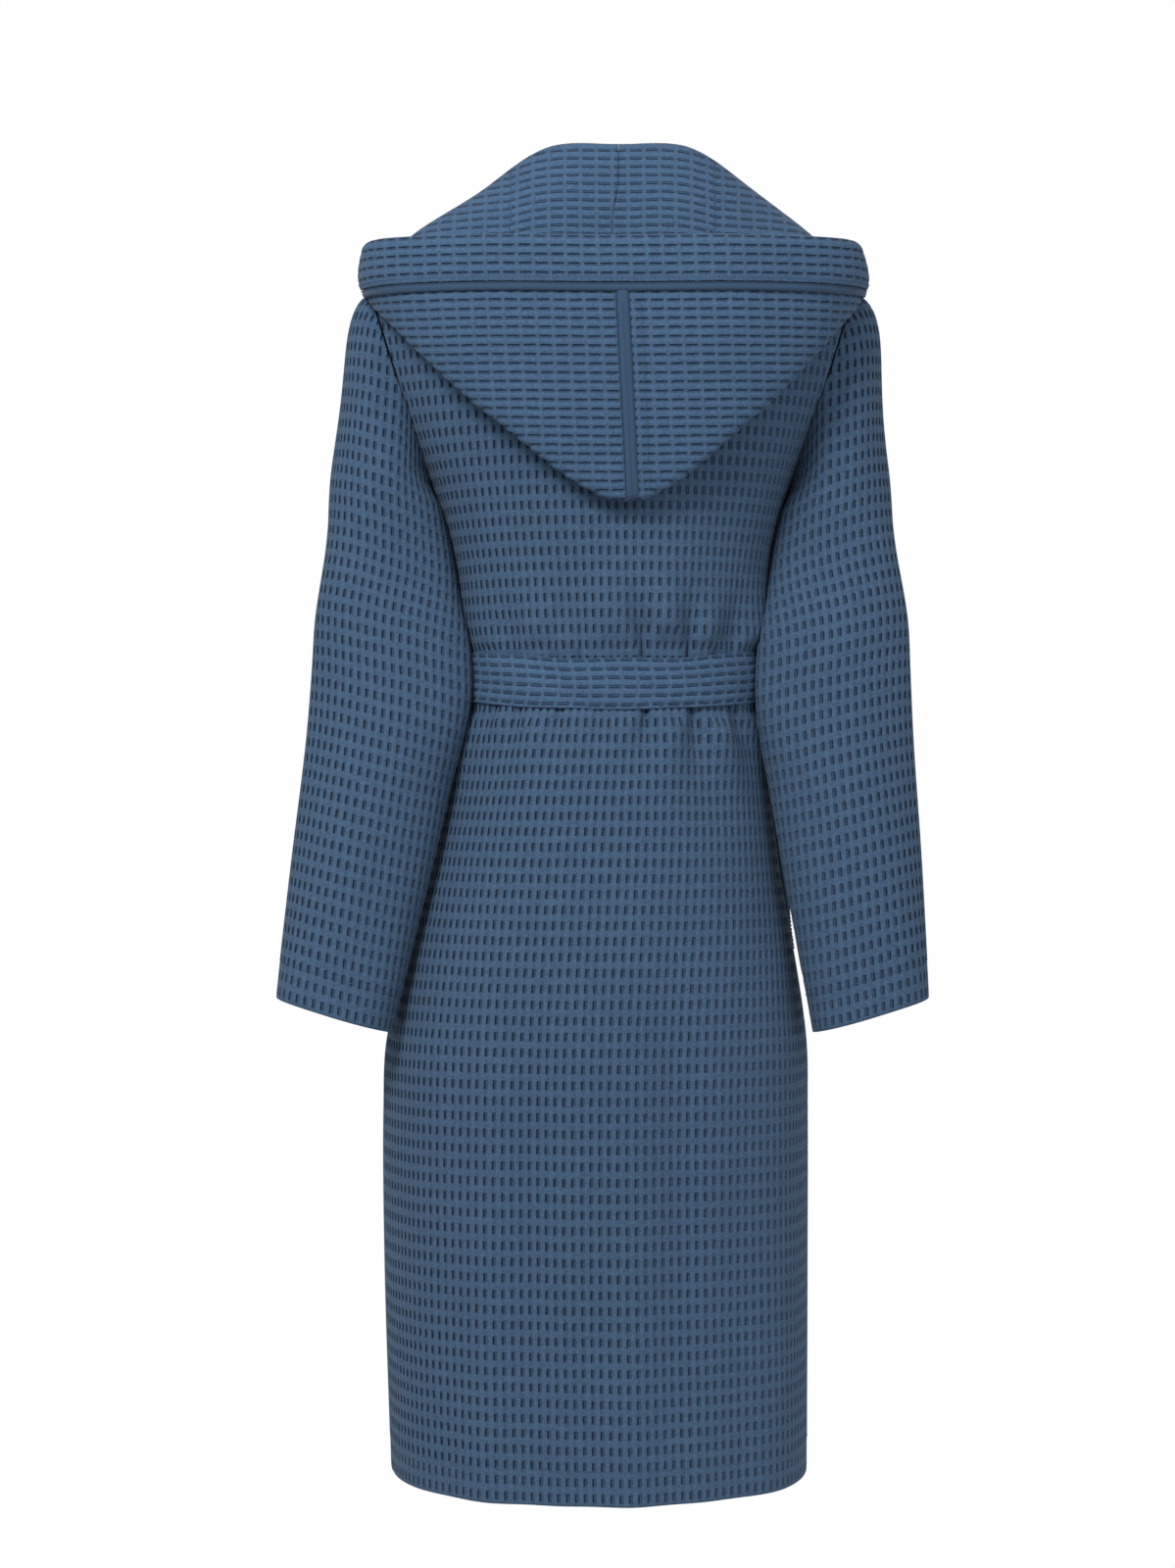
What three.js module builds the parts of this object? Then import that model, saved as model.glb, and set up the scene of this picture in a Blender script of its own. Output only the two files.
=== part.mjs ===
// A hooded waffle bathrobe, hanging as it is worn, with its hood down on the back and its belt tied.
// Millimetres. +Z is up, +Y is the wearer's front, +X is the wearer's right and the hem is at z = 0.
// Every cloth is a thick sheet. Sewn edges keep seamGap between them, and layers keep layerGap.

import * as THREE from 'three';
import { ParametricGeometry } from 'three/addons/geometries/ParametricGeometry.js';
import { mergeGeometries, mergeVertices } from 'three/addons/utils/BufferGeometryUtils.js';

// Cloth
const cloth = 3.5;
const bandCloth = 3;
const tapeCloth = 1.6;
const seamGap = 0.7;
const layerGap = 0.8;
const patchGap = 2.1;
const hoodBandGap = 3.5;
const neckTapeGap = 3.2;
const knotGap = 1.1;

// The body, as half widths and half depths at five heights. A square of 2 is an ellipse, more is boxier.
const hem = { height: 0, halfWidth: 183, halfDepth: 146, sway: -12, square: 2.2 };
const hip = { height: 380, halfWidth: 188, halfDepth: 148, sway: -13, square: 2.2 };
const seat = { height: 560, halfWidth: 151, halfDepth: 124, sway: -5, square: 2.2 };
const waist = { height: 710, halfWidth: 130, halfDepth: 105, sway: 2, square: 2.2 };
const armpit = { height: 885, halfWidth: 158, halfDepth: 117, sway: 0, square: 2.6 };
const shoulder = { height: 1050, halfWidth: 270, halfDepth: 110, sway: 0, square: 4 };
const roundness = 2.4;
const ridgeHeight = 1146;
const ridgeSlope = 0.25;

// Openings of the body: the armholes lie in slanted planes, and the front wraps left over right
const armholeTop = { side: 212, height: 1056 };
const neckHalfAngle = 1 / 3;
const backNeckDrop = THREE.MathUtils.degToRad(22);
const neckHalfWidth = 75;
const neckSideHeight = 1127;
const wrapOverlap = 70;
const wrapHeight = 820;
const frontBandWidth = 42;

// Sleeves
const cuff = { height: 419, halfWidth: 52, halfDepth: 39, back: 75, tilt: THREE.MathUtils.degToRad(17) };
const elbow = { height: 710, halfWidth: 66, back: 38, clearance: 5 };
const upperArm = { halfWidth: 90, halfDepth: 62, out: 10 };
const cuffClearance = -2;
const armholeGap = 4;
const sleeveHeadShare = 0.3;

// Hood
const hoodTop = 1172;
const hoodTip = 863;
const hoodMouth = 1087;
const hoodHalfWidth = 204;
const hoodDepth = 168;
const hoodBandWidth = 41;
const hoodTapeWidth = 8;
const hoodSeamSway = 12;
const hoodSeamGap = 1.1;
const neckSeamRise = 7.1;
const centreTapeLength = 190;

// Belt
const beltWidth = 44;
const beltEnd = {
  length: 270,
  width: 40,
  drop: 3.9,
  gatheredWidth: 14,
  gatheredSpread: 9,
  spread: 34,
};
const knotRadius = { x: 34, y: 17, z: 27 };
const loopHeight = 66;
const loopWidth = 12;

// Pockets, hanging loop and labels
const pocket = { gap: 1.9, height: 160, bottom: 470, bulge: 20, sideShare: 0.1, inside: 84 };
const neckTape = { halfWidth: 44, topRows: 0.1, bottomRows: 0.6 };
const hangingLoop = { halfWidth: 30, drop: 26, width: 7, inside: 10.9, below: 8 };
const neckLabel = { halfWidth: 26, topRows: 0.9, bottomRows: 1.7 };
const careLabel = { bottom: 250, height: 55, sideShare: 0.01, turn: 0.08 };

const bodyStations = [hem, hip, seat, waist, armpit, shoulder];
const bodyShape = new THREE.CubicInterpolant(
  bodyStations.map((station) => station.height),
  bodyStations.flatMap(({ halfWidth, halfDepth, sway, square }) => [halfWidth, halfDepth, sway, square]),
  4,
);

function shapeAt(height) {
  const inRange = THREE.MathUtils.clamp(height, hem.height, shoulder.height);
  const [halfWidth, halfDepth, sway, square] = bodyShape.evaluate(inRange);
  return { halfWidth, halfDepth, sway, square };
}

// How far out a point lies: 0 on the body's middle line and 1 on its cloth
function fullness(point) {
  const { halfWidth, halfDepth, sway, square } = shapeAt(point.z);
  const ridge = ridgeHeight - ridgeSlope * Math.abs(point.x);
  const across = Math.abs(point.x - sway) / halfWidth;
  const deep = Math.abs(point.y) / halfDepth;
  const high = Math.max(0, point.z - armpit.height) / (ridge - armpit.height);
  return across ** square + deep ** roundness + high ** roundness;
}

// The value between low and high where a rising function passes zero
function solve(low, high, rising) {
  for (let step = 0; step < 36; step += 1) {
    const middle = (low + high) / 2;
    if (rising(middle) < 0) low = middle;
    else high = middle;
  }
  return (low + high) / 2;
}

// A point of the body. Rows 0 to 1 climb from hem to armpit, and rows 1 to 2 tilt up to the shoulder.
// The angle runs from the right side at 0 to the left side at pi, and facing is -1 at the back.
function bodyPoint(facing, row, angle) {
  const height = armpit.height * Math.min(row, 1);
  const tilt = (Math.max(row, 1) - 1) * Math.PI / 2;
  const start = new THREE.Vector3(shapeAt(height).sway, 0, height);
  const outward = new THREE.Vector3(
    Math.cos(angle),
    facing * Math.sin(angle) * Math.cos(tilt),
    Math.sin(angle) * Math.sin(tilt),
  );
  const along = (reach) => start.clone().addScaledVector(outward, reach);
  const reach = solve(0, 2 * ridgeHeight, (distance) => fullness(along(distance)) - 1);
  return along(reach).add(new THREE.Vector3(0, facing * seamGap / 2, 0));
}

// The angle at which a row of the body meets an edge, given as the edge's x at each height
function edgeAngle(facing, row, edge) {
  return solve(0, Math.PI, (angle) => {
    const point = bodyPoint(facing, row, angle);
    return edge(point.z) - point.x;
  });
}

function armholeEdge(side) {
  const slant = (armholeTop.side - armpit.halfWidth) / (armholeTop.height - armpit.height);
  return (height) => side * (armpit.halfWidth + slant * Math.max(0, height - armpit.height));
}

function sideAngle(facing, row, side) {
  if (row <= 1) return side > 0 ? 0 : Math.PI;
  return edgeAngle(facing, row, armholeEdge(side));
}

// The front edge of the panel on one side: slanting from the neck past the middle, then straight down
function openingEdge(side, inset = 0) {
  const slant = (neckHalfWidth + wrapOverlap) / (neckSideHeight - wrapHeight);
  return (height) => {
    const across = Math.min(wrapOverlap, slant * (neckSideHeight - height) - neckHalfWidth);
    return side * (inset - across);
  };
}

// The slope of a row of points at one of them, from three points where the row ends
function slope(pointAt, index, last) {
  const part = (position, share) => pointAt(position).clone().multiplyScalar(share);
  if (index === 0) return part(0, -3).add(part(1, 4)).sub(part(2, 1));
  if (index === last) return part(last, 3).sub(part(last - 1, 4)).add(part(last - 2, 1));
  return part(index + 1, 1).sub(pointAt(index - 1));
}

// The flat facets between a grid of points on a surface, so that what is sewn on them lies on them
function facets(surface, slices, stacks) {
  const grid = [];
  for (let stack = 0; stack <= stacks; stack += 1) {
    grid.push(Array.from({ length: slices + 1 }, (_, slice) => surface(slice / slices, stack / stacks)));
  }
  return (u, v) => {
    const slice = Math.min(slices - 1, Math.floor(u * slices + 1e-6));
    const stack = Math.min(stacks - 1, Math.floor(v * stacks + 1e-6));
    const across = u * slices - slice;
    const below = grid[stack][slice].clone().lerp(grid[stack][slice + 1], across);
    const above = grid[stack + 1][slice].clone().lerp(grid[stack + 1][slice + 1], across);
    return below.lerp(above, v * stacks - stack);
  };
}

// A closed sheet, half its thickness to each side of a surface that is raised by offset(u, v) along
// its normal. The normal is on the u x v side. A closed sheet joins its last column to its first.
function sheet({ surface, slices, stacks, thickness, offset = () => 0, closed = false }) {
  const column = (slice) => (closed ? (slice + slices) % slices : slice);
  const grid = [];
  for (let stack = 0; stack <= stacks; stack += 1) {
    const points = [];
    for (let slice = 0; slice <= slices; slice += 1) {
      points.push(surface(column(slice) / slices, stack / stacks));
    }
    grid.push(points);
  }
  const raised = grid.map((points, stack) => points.map((point, slice) => {
    const inRow = (position) => points[column(position)];
    const inColumn = (position) => grid[position][slice];
    const across = closed ? inRow(slice + 1).clone().sub(inRow(slice - 1)) : slope(inRow, slice, slices);
    const normal = across.cross(slope(inColumn, stack, stacks)).normalize();
    const middle = offset(column(slice) / slices, stack / stacks, point);
    return [-0.5, 0.5].map((share) => point.clone().addScaledVector(normal, middle + share * thickness));
  }));
  const skin = (u, v, layer, target) => {
    target.copy(raised[Math.round(v * stacks)][column(Math.round(u * slices))][Math.round(layer)]);
  };
  const patches = [
    new ParametricGeometry((u, v, target) => skin(u, v, 1, target), slices, stacks),
    new ParametricGeometry((u, v, target) => skin(1 - u, v, 0, target), slices, stacks),
    new ParametricGeometry((u, layer, target) => skin(u, 0, layer, target), slices, 1),
    new ParametricGeometry((u, layer, target) => skin(1 - u, 1, layer, target), slices, 1),
  ];
  if (!closed) {
    patches.push(
      new ParametricGeometry((v, layer, target) => skin(1, v, layer, target), stacks, 1),
      new ParametricGeometry((v, layer, target) => skin(0, 1 - v, layer, target), stacks, 1),
    );
  }
  const whole = mergeGeometries(patches);
  whole.deleteAttribute('normal');
  whole.deleteAttribute('uv');
  const solid = mergeVertices(whole, 1e-3);
  solid.computeVertexNormals();
  return solid;
}

const waffle = { color: 0x405872, roughness: 0.95, metalness: 0 };
const bandWeave = { color: 0x455d79, roughness: 0.95, metalness: 0 };
const tapeWeave = { color: 0x33465c, roughness: 0.85, metalness: 0 };
const labelWeave = { color: 0xd8d6cf, roughness: 0.6, metalness: 0 };

const bathrobe = new THREE.Group();

function addPiece(name, geometry, look) {
  const mesh = new THREE.Mesh(geometry, new THREE.MeshStandardMaterial(look));
  mesh.name = name;
  bathrobe.add(mesh);
}

// The rows of a body panel: heights up the side seam, then tilts up to the shoulder
const beltBottom = waist.height - beltWidth / 2;
const beltTop = waist.height + beltWidth / 2;
const sideHeights = [
  hem.height,
  (2 * hem.height + hip.height) / 3,
  (hem.height + 2 * hip.height) / 3,
  hip.height,
  (hip.height + seat.height) / 2,
  seat.height,
  (seat.height + beltBottom) / 2,
  beltBottom,
  beltTop,
  (beltTop + armpit.height) / 2,
  armpit.height,
];
const tiltRows = 8;
const panelStacks = sideHeights.length - 1 + tiltRows;

function panelRow(v, topRow = 2) {
  const stack = v * panelStacks;
  const sideStacks = sideHeights.length - 1;
  if (stack >= sideStacks) return 1 + (topRow - 1) * (stack - sideStacks) / tiltRows;
  const below = Math.floor(stack);
  const height = THREE.MathUtils.lerp(sideHeights[below], sideHeights[below + 1], stack - below);
  return height / armpit.height;
}

function backNeckRow(u) {
  const fromMiddle = Math.min(1, Math.abs(2 * u - 1) / neckHalfAngle);
  return 2 - backNeckDrop / (Math.PI / 2) * (1 - fromMiddle ** 2);
}

function backSurface(u, v) {
  const row = panelRow(v, backNeckRow(u));
  const angle = THREE.MathUtils.lerp(sideAngle(-1, row, -1), sideAngle(-1, row, 1), u);
  return bodyPoint(-1, row, angle);
}

const panelSlices = { back: 18, front: 12 };
const backCloth = facets(backSurface, panelSlices.back, panelStacks);

function frontSurface(side) {
  return (u, v) => {
    const row = panelRow(v);
    const atSide = sideAngle(1, row, side);
    const atEdge = edgeAngle(1, row, openingEdge(side));
    return bodyPoint(1, row, THREE.MathUtils.lerp(atSide, atEdge, side > 0 ? u : 1 - u));
  };
}

const frontCloth = {
  [-1]: facets(frontSurface(-1), panelSlices.front, panelStacks),
  1: facets(frontSurface(1), panelSlices.front, panelStacks),
};

// How far up a panel a height lies
function shareAt(height) {
  const below = sideHeights.findLastIndex((sideHeight) => sideHeight <= height);
  const part = (height - sideHeights[below]) / (sideHeights[below + 1] - sideHeights[below]);
  return (below + part) / panelStacks;
}

// The point of a panel at a given x, a share of the way up it
function acrossBack(x, v) {
  return backCloth(solve(0, 1, (u) => backCloth(u, v).x - x), v);
}

function acrossFront(side, x, v) {
  return frontCloth[side](solve(0, 1, (u) => x - frontCloth[side](u, v).x), v);
}

// The left panel lies on top. The right one, and its band, dip below it where they overlap.
const underDip = cloth + bandCloth + patchGap + 2 * layerGap;
const dipStart = 10;
const dipRun = 56;

function frontDip(side, point) {
  if (side < 0) return 0;
  const beyond = point.x - openingEdge(-1)(point.z);
  return -underDip * (1 - THREE.MathUtils.smoothstep(beyond, dipStart, dipRun));
}

// The band along an opening edge stops one row short of the shoulder, where the hood is sewn on
const bandStacks = panelStacks - 1;

function frontBandSurface(side) {
  return (u, v) => {
    const up = v * bandStacks / panelStacks;
    const edge = frontCloth[side](side > 0 ? 1 : 0, up);
    const inset = THREE.MathUtils.lerp(frontBandWidth, 1, side > 0 ? u : 1 - u);
    return acrossFront(side, edge.x + side * inset, up);
  };
}

// The armhole as a loop: turn 0 is its top, half a turn is the underarm, and the back comes first
function armholePoint(side, turn) {
  const facing = turn > 0.5 ? 1 : -1;
  const row = THREE.MathUtils.clamp(2 - 2 * Math.min(turn, 1 - turn), 1.0001, 2);
  return bodyPoint(facing, row, sideAngle(facing, row, side));
}

function sleeveSurface(side) {
  const top = armholePoint(side, 0);
  const under = armholePoint(side, 0.5);
  const middle = top.clone().add(under).multiplyScalar(0.5);
  const skirt = shapeAt(cuff.height);
  const cuffSide = skirt.halfWidth + cuff.halfWidth + cuffClearance;
  const elbowSide = waist.halfWidth + elbow.halfWidth + elbow.clearance;
  const armholeTilt = Math.atan2(top.z - under.z, Math.abs(top.x - under.x));
  const outward = new THREE.Vector3(side * Math.sin(armholeTilt), 0, -Math.cos(armholeTilt));
  const headHeight = (middle.z + elbow.height) / 2;
  const headSide = (elbowSide + Math.abs(middle.x)) / 2 + upperArm.out;
  const path = new THREE.CatmullRomCurve3([
    new THREE.Vector3(middle.x, 0, middle.z),
    new THREE.Vector3(side * headSide, -elbow.back / 3, headHeight),
    new THREE.Vector3(side * elbowSide + waist.sway, -elbow.back, elbow.height),
    new THREE.Vector3(side * cuffSide + skirt.sway, -cuff.back, cuff.height),
  ]);
  return (u, v) => {
    const turn = side > 0 ? u : (1 - u) % 1;
    const angle = turn * 2 * Math.PI;
    const tilt = THREE.MathUtils.lerp(armholeTilt, cuff.tilt, THREE.MathUtils.smoothstep(v, 0, 0.9));
    const across = THREE.MathUtils.lerp(upperArm.halfWidth, cuff.halfWidth, v ** 1.5) * Math.cos(angle);
    const deep = THREE.MathUtils.lerp(upperArm.halfDepth, cuff.halfDepth, v) * Math.sin(angle);
    const away = new THREE.Vector3(side * across * Math.cos(tilt), -deep, across * Math.sin(tilt));
    const ring = path.getPoint(v).add(away);
    const sewn = armholePoint(side, turn).addScaledVector(outward, armholeGap);
    return sewn.lerp(ring, THREE.MathUtils.smoothstep(v, 0, sleeveHeadShare));
  };
}

// The hood's lines on the right side, from the centre seam at the back round to the front neck
const hoodLines = {
  roll: [[0, -84, hoodTop], [70, -74, hoodTop], [124, -38, 1144], [132, 4, 1136], [112, 46, 1134],
    [88, 68, 1124]],
  lining: [[0, -122, 1020], [92, -122, 1040], [170, -78, 1084], [182, -14, 1104], [142, 48, 1112],
    [102, 74, 1112]],
  fold: [[0, -136, hoodTip], [108, -136, 932], [hoodHalfWidth, -92, 1022], [230, -22, 1050],
    [188, 52, 1084], [134, 84, 1092]],
  face: [[0, -160, 975], [112, -156, 1005], [hoodHalfWidth + 10, -106, 1052], [230, -32, 1074],
    [172, 56, 1100], [122, 88, 1106]],
  mouth: [[0, -hoodDepth, hoodMouth], [112, -162, hoodMouth], [hoodHalfWidth, -114, 1088],
    [212, -40, 1096], [138, 52, 1118], [98, 82, 1120]],
};

// A line runs right round the back, so that it is level where it crosses the centre seam
function hoodLine(right) {
  const left = right.slice(1).map((point) => new THREE.Vector3(-point.x, point.y, point.z)).reverse();
  return new THREE.CatmullRomCurve3([...left, ...right]);
}

const [rollLine, ...bagLines] = Object.values(hoodLines).map((points) => (
  hoodLine(points.map(([x, y, z]) => new THREE.Vector3(x, y, z)))));

// The neck seam follows the back's neck edge, then the right front's opening edge down to its band
const neckBack = [0, 0.5, 1].map((share) => backCloth(0.5 + share * neckHalfAngle / 2, 1));
const neckFront = [0.25, 0.55, 0.85].map((rows) => frontCloth[1](1, 1 - rows / panelStacks));
const neckLine = hoodLine([...neckBack, ...neckFront].map((point) => {
  point.z += neckSeamRise;
  return point;
}));
const halfWay = (share) => 0.5 + share / 2;

// Moves a point of the right half to its side, and leans the centre seam as it falls to the tip
function hoodPlace(point, side) {
  const fallen = THREE.MathUtils.clamp((hoodMouth - point.z) / (hoodMouth - hoodTip), 0, 1);
  return new THREE.Vector3(side * point.x + hoodSeamSway * fallen, point.y, point.z);
}

// One cut through the hood, from the roll down to the fold and up to the mouth
function hoodSection(share) {
  const tangent = rollLine.getTangent(halfWay(share));
  const away = new THREE.Vector3(tangent.y, -tangent.x, 0).normalize();
  const start = rollLine.getPoint(halfWay(share)).addScaledVector(away, cloth + layerGap);
  return new THREE.CatmullRomCurve3([start, ...bagLines.map((line) => line.getPoint(halfWay(share)))]);
}

const hoodSlices = 12;
const bandSlices = hoodSlices - 1;
const hoodBandReach = bandSlices / hoodSlices;
const centreTapeReach = 0.2 / hoodSlices;
const hoodStacks = 14;
const halfHood = facets((u, v) => {
  const point = hoodSection(u).getPoint(v);
  point.x += hoodSeamGap / 2;
  return point;
}, hoodSlices, hoodStacks);

function hoodSurface(side) {
  return (u, v) => hoodPlace(halfHood(side > 0 ? u : 1 - u, v), side);
}

// The neck stand runs from one front end round the back to the other
function hoodNeckSurface(u, v) {
  return hoodPlace(neckLine.getPoint(u).lerp(rollLine.getPoint(u), v), 1);
}

// How far up the hood's cut a distance below its mouth lies
function belowMouth(share, distance) {
  let left = distance;
  for (let stack = hoodStacks; stack > 0; stack -= 1) {
    const from = halfHood(share, stack / hoodStacks);
    const length = from.distanceTo(halfHood(share, (stack - 1) / hoodStacks));
    if (length >= left) return (stack - left / length) / hoodStacks;
    left -= length;
  }
  return 0;
}

// A strip on the hood's face side, out to a share of each half and between two distances
function hoodStrip(reach, upper, lower) {
  return (u, v) => {
    const share = Math.abs(2 * u - 1) * reach;
    const distance = THREE.MathUtils.lerp(lower, upper, v);
    return hoodPlace(halfHood(share, belowMouth(share, distance)), u < 0.5 ? -1 : 1);
  };
}

// The belt lies close at the back and clears the bands at the front
const beltLift = {
  back: (cloth + bandCloth) / 2 + layerGap,
  front: (cloth + bandCloth) / 2 + bandCloth + patchGap + layerGap,
};

function beltSurface(u, v) {
  const turn = u * 2 * Math.PI;
  const facing = turn < Math.PI ? 1 : -1;
  const [low, high] = [beltBottom, beltTop].map((height) => (
    bodyPoint(facing, height / armpit.height, facing > 0 ? turn : 2 * Math.PI - turn)));
  return low.lerp(high, v);
}

function beltOffset(u) {
  const frontShare = THREE.MathUtils.smoothstep(Math.sin(u * 2 * Math.PI), 0.1, 0.5);
  return THREE.MathUtils.lerp(beltLift.back, beltLift.front, frontShare);
}

const beltFront = waist.halfDepth + beltLift.front + bandCloth / 2;

function beltKnot() {
  const knot = new THREE.SphereGeometry(1, 16, 12);
  knot.deleteAttribute('normal');
  knot.deleteAttribute('uv');
  knot.rotateX(Math.PI / 2);
  knot.scale(knotRadius.x, knotRadius.y, knotRadius.z);
  knot.translate(waist.sway, beltFront + knotRadius.y + knotGap, waist.height);
  return mergeVertices(knot);
}

// The two ends leave the knot's underside gathered, and fall against the front
const beltEndTop = waist.height - knotRadius.z - beltEnd.drop;
const gathered = (v) => THREE.MathUtils.smoothstep(v, 0.78, 1);

function beltEndSurface(side) {
  return (u, v) => {
    const height = beltEndTop - beltEnd.length * (1 - v);
    const spread = THREE.MathUtils.lerp(beltEnd.spread, beltEnd.gatheredSpread, gathered(v));
    const width = THREE.MathUtils.lerp(beltEnd.width, beltEnd.gatheredWidth, gathered(v));
    return acrossFront(-1, side * spread + waist.sway + width * (0.5 - u), shareAt(height));
  };
}

function beltEndOffset(u, v) {
  return beltLift.front + bandCloth + layerGap + (knotRadius.y - bandCloth / 2) * gathered(v);
}

function beltLoopSurface(side) {
  const low = (cloth + tapeCloth) / 2 + patchGap;
  const high = beltLift.back + (bandCloth + tapeCloth) / 2 + layerGap;
  return (u, v) => {
    const height = waist.height + loopHeight * (v - 0.5);
    const arch = THREE.MathUtils.smoothstep(0.5 - Math.abs(v - 0.5), 0, 0.18);
    const out = shapeAt(height).halfWidth + THREE.MathUtils.lerp(low, high, arch);
    return new THREE.Vector3(side * out + shapeAt(height).sway, side * loopWidth * (u - 0.5), height);
  };
}

function pocketSurface(side) {
  return (u, v) => {
    const up = shareAt(pocket.bottom + pocket.height * v);
    const panel = (share) => frontCloth[side](side > 0 ? share : 1 - share, up);
    const inner = solve(0, 1, (share) => pocket.inside - Math.abs(panel(share).x));
    return panel(THREE.MathUtils.lerp(pocket.sideShare, inner, side > 0 ? u : 1 - u));
  };
}

function pocketOffset(u, v) {
  const fill = Math.sin(Math.PI * u) ** 0.6 * THREE.MathUtils.smoothstep(v, 0, 0.4);
  return (cloth + bandCloth) / 2 + pocket.gap + pocket.bulge * fill;
}

// Trim sewn inside the back, in rows of the panel below its neck
const insideOffset = () => -(cloth + tapeCloth) / 2 - patchGap;

function insideBack(halfWidth, topRows, bottomRows) {
  return (u, v) => {
    const rows = THREE.MathUtils.lerp(bottomRows, topRows, v);
    return acrossBack(halfWidth * (2 * u - 1), 1 - rows / panelStacks);
  };
}

// A strap whose two ends are sewn to the neck tape and whose middle hangs clear inside it
function hangingLoopSurface(u, v) {
  const turn = Math.PI * u;
  const halfWidth = hangingLoop.halfWidth + hangingLoop.width * (v - 0.5);
  const drop = hangingLoop.drop + hangingLoop.width * (v - 0.5);
  const top = backCloth(0.5, 1);
  return new THREE.Vector3(
    halfWidth * Math.cos(turn),
    top.y + hangingLoop.inside,
    top.z - hangingLoop.below - drop * Math.sin(turn),
  );
}

function careLabelSurface(u, v) {
  const height = careLabel.bottom + careLabel.height * v;
  return frontCloth[-1](1 - careLabel.sideShare - careLabel.turn * (1 - u), shareAt(height));
}

function addSheet(name, look, options) {
  addPiece(name, sheet(options), look);
}

addSheet('back_panel', waffle, {
  surface: backCloth,
  slices: panelSlices.back,
  stacks: panelStacks,
  thickness: cloth,
});
for (const [name, side] of [['left', -1], ['right', 1]]) {
  addSheet(`front_panel_${name}`, waffle, {
    surface: frontCloth[side],
    offset: (u, v, point) => frontDip(side, point),
    slices: panelSlices.front,
    stacks: panelStacks,
    thickness: cloth,
  });
  addSheet(`front_band_${name}`, bandWeave, {
    surface: frontBandSurface(side),
    offset: (u, v, point) => frontDip(side, point) + (cloth + bandCloth) / 2 + patchGap,
    slices: 3,
    stacks: bandStacks,
    thickness: bandCloth,
  });
  addSheet(`sleeve_${name}`, waffle, {
    surface: sleeveSurface(side),
    slices: 20,
    stacks: 12,
    thickness: cloth,
    closed: true,
  });
  addSheet(`hood_${name}`, bandWeave, {
    surface: hoodSurface(side),
    slices: hoodSlices,
    stacks: hoodStacks,
    thickness: cloth,
  });
  addSheet(`belt_end_${name}`, bandWeave, {
    surface: beltEndSurface(side),
    offset: beltEndOffset,
    slices: 2,
    stacks: 10,
    thickness: bandCloth,
  });
  addSheet(`belt_loop_${name}`, tapeWeave, {
    surface: beltLoopSurface(side),
    slices: 2,
    stacks: 8,
    thickness: tapeCloth,
  });
  addSheet(`pocket_${name}`, waffle, {
    surface: pocketSurface(side),
    offset: pocketOffset,
    slices: 8,
    stacks: 6,
    thickness: bandCloth,
  });
}
addSheet('hood_neck', bandWeave, { surface: hoodNeckSurface, slices: 24, stacks: 2, thickness: cloth });
addSheet('hood_band', bandWeave, {
  surface: hoodStrip(hoodBandReach, 1, hoodBandWidth),
  offset: () => (cloth + bandCloth) / 2 + hoodBandGap,
  slices: 2 * bandSlices,
  stacks: 2,
  thickness: bandCloth,
});
addSheet('hood_band_tape', tapeWeave, {
  surface: hoodStrip(hoodBandReach, hoodBandWidth + seamGap, hoodBandWidth + seamGap + hoodTapeWidth),
  offset: () => (cloth + tapeCloth) / 2 + 2 * layerGap,
  slices: 2 * bandSlices,
  stacks: 2,
  thickness: tapeCloth,
});
addSheet('hood_centre_tape', tapeWeave, {
  surface: hoodStrip(centreTapeReach, hoodBandWidth + 3 * hoodTapeWidth, centreTapeLength),
  offset: () => (cloth + tapeCloth) / 2 + layerGap,
  slices: 2,
  stacks: 8,
  thickness: tapeCloth,
});
addSheet('belt', bandWeave, {
  surface: beltSurface,
  offset: beltOffset,
  slices: 36,
  stacks: 2,
  thickness: bandCloth,
  closed: true,
});
addPiece('belt_knot', beltKnot(), bandWeave);
addSheet('neck_tape', tapeWeave, {
  surface: insideBack(neckTape.halfWidth, neckTape.topRows, neckTape.bottomRows),
  offset: () => -(cloth + tapeCloth) / 2 - neckTapeGap,
  slices: 6,
  stacks: 2,
  thickness: tapeCloth,
});
addSheet('neck_label', labelWeave, {
  surface: insideBack(neckLabel.halfWidth, neckLabel.topRows, neckLabel.bottomRows),
  offset: insideOffset,
  slices: 4,
  stacks: 2,
  thickness: tapeCloth,
});
addSheet('hanging_loop', tapeWeave, {
  surface: hangingLoopSurface,
  slices: 10,
  stacks: 2,
  thickness: tapeCloth,
});
addSheet('care_label', labelWeave, {
  surface: careLabelSurface,
  offset: () => -(cloth + tapeCloth) / 2 - layerGap,
  slices: 2,
  stacks: 2,
  thickness: tapeCloth,
});

export default bathrobe;
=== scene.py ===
import math

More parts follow.
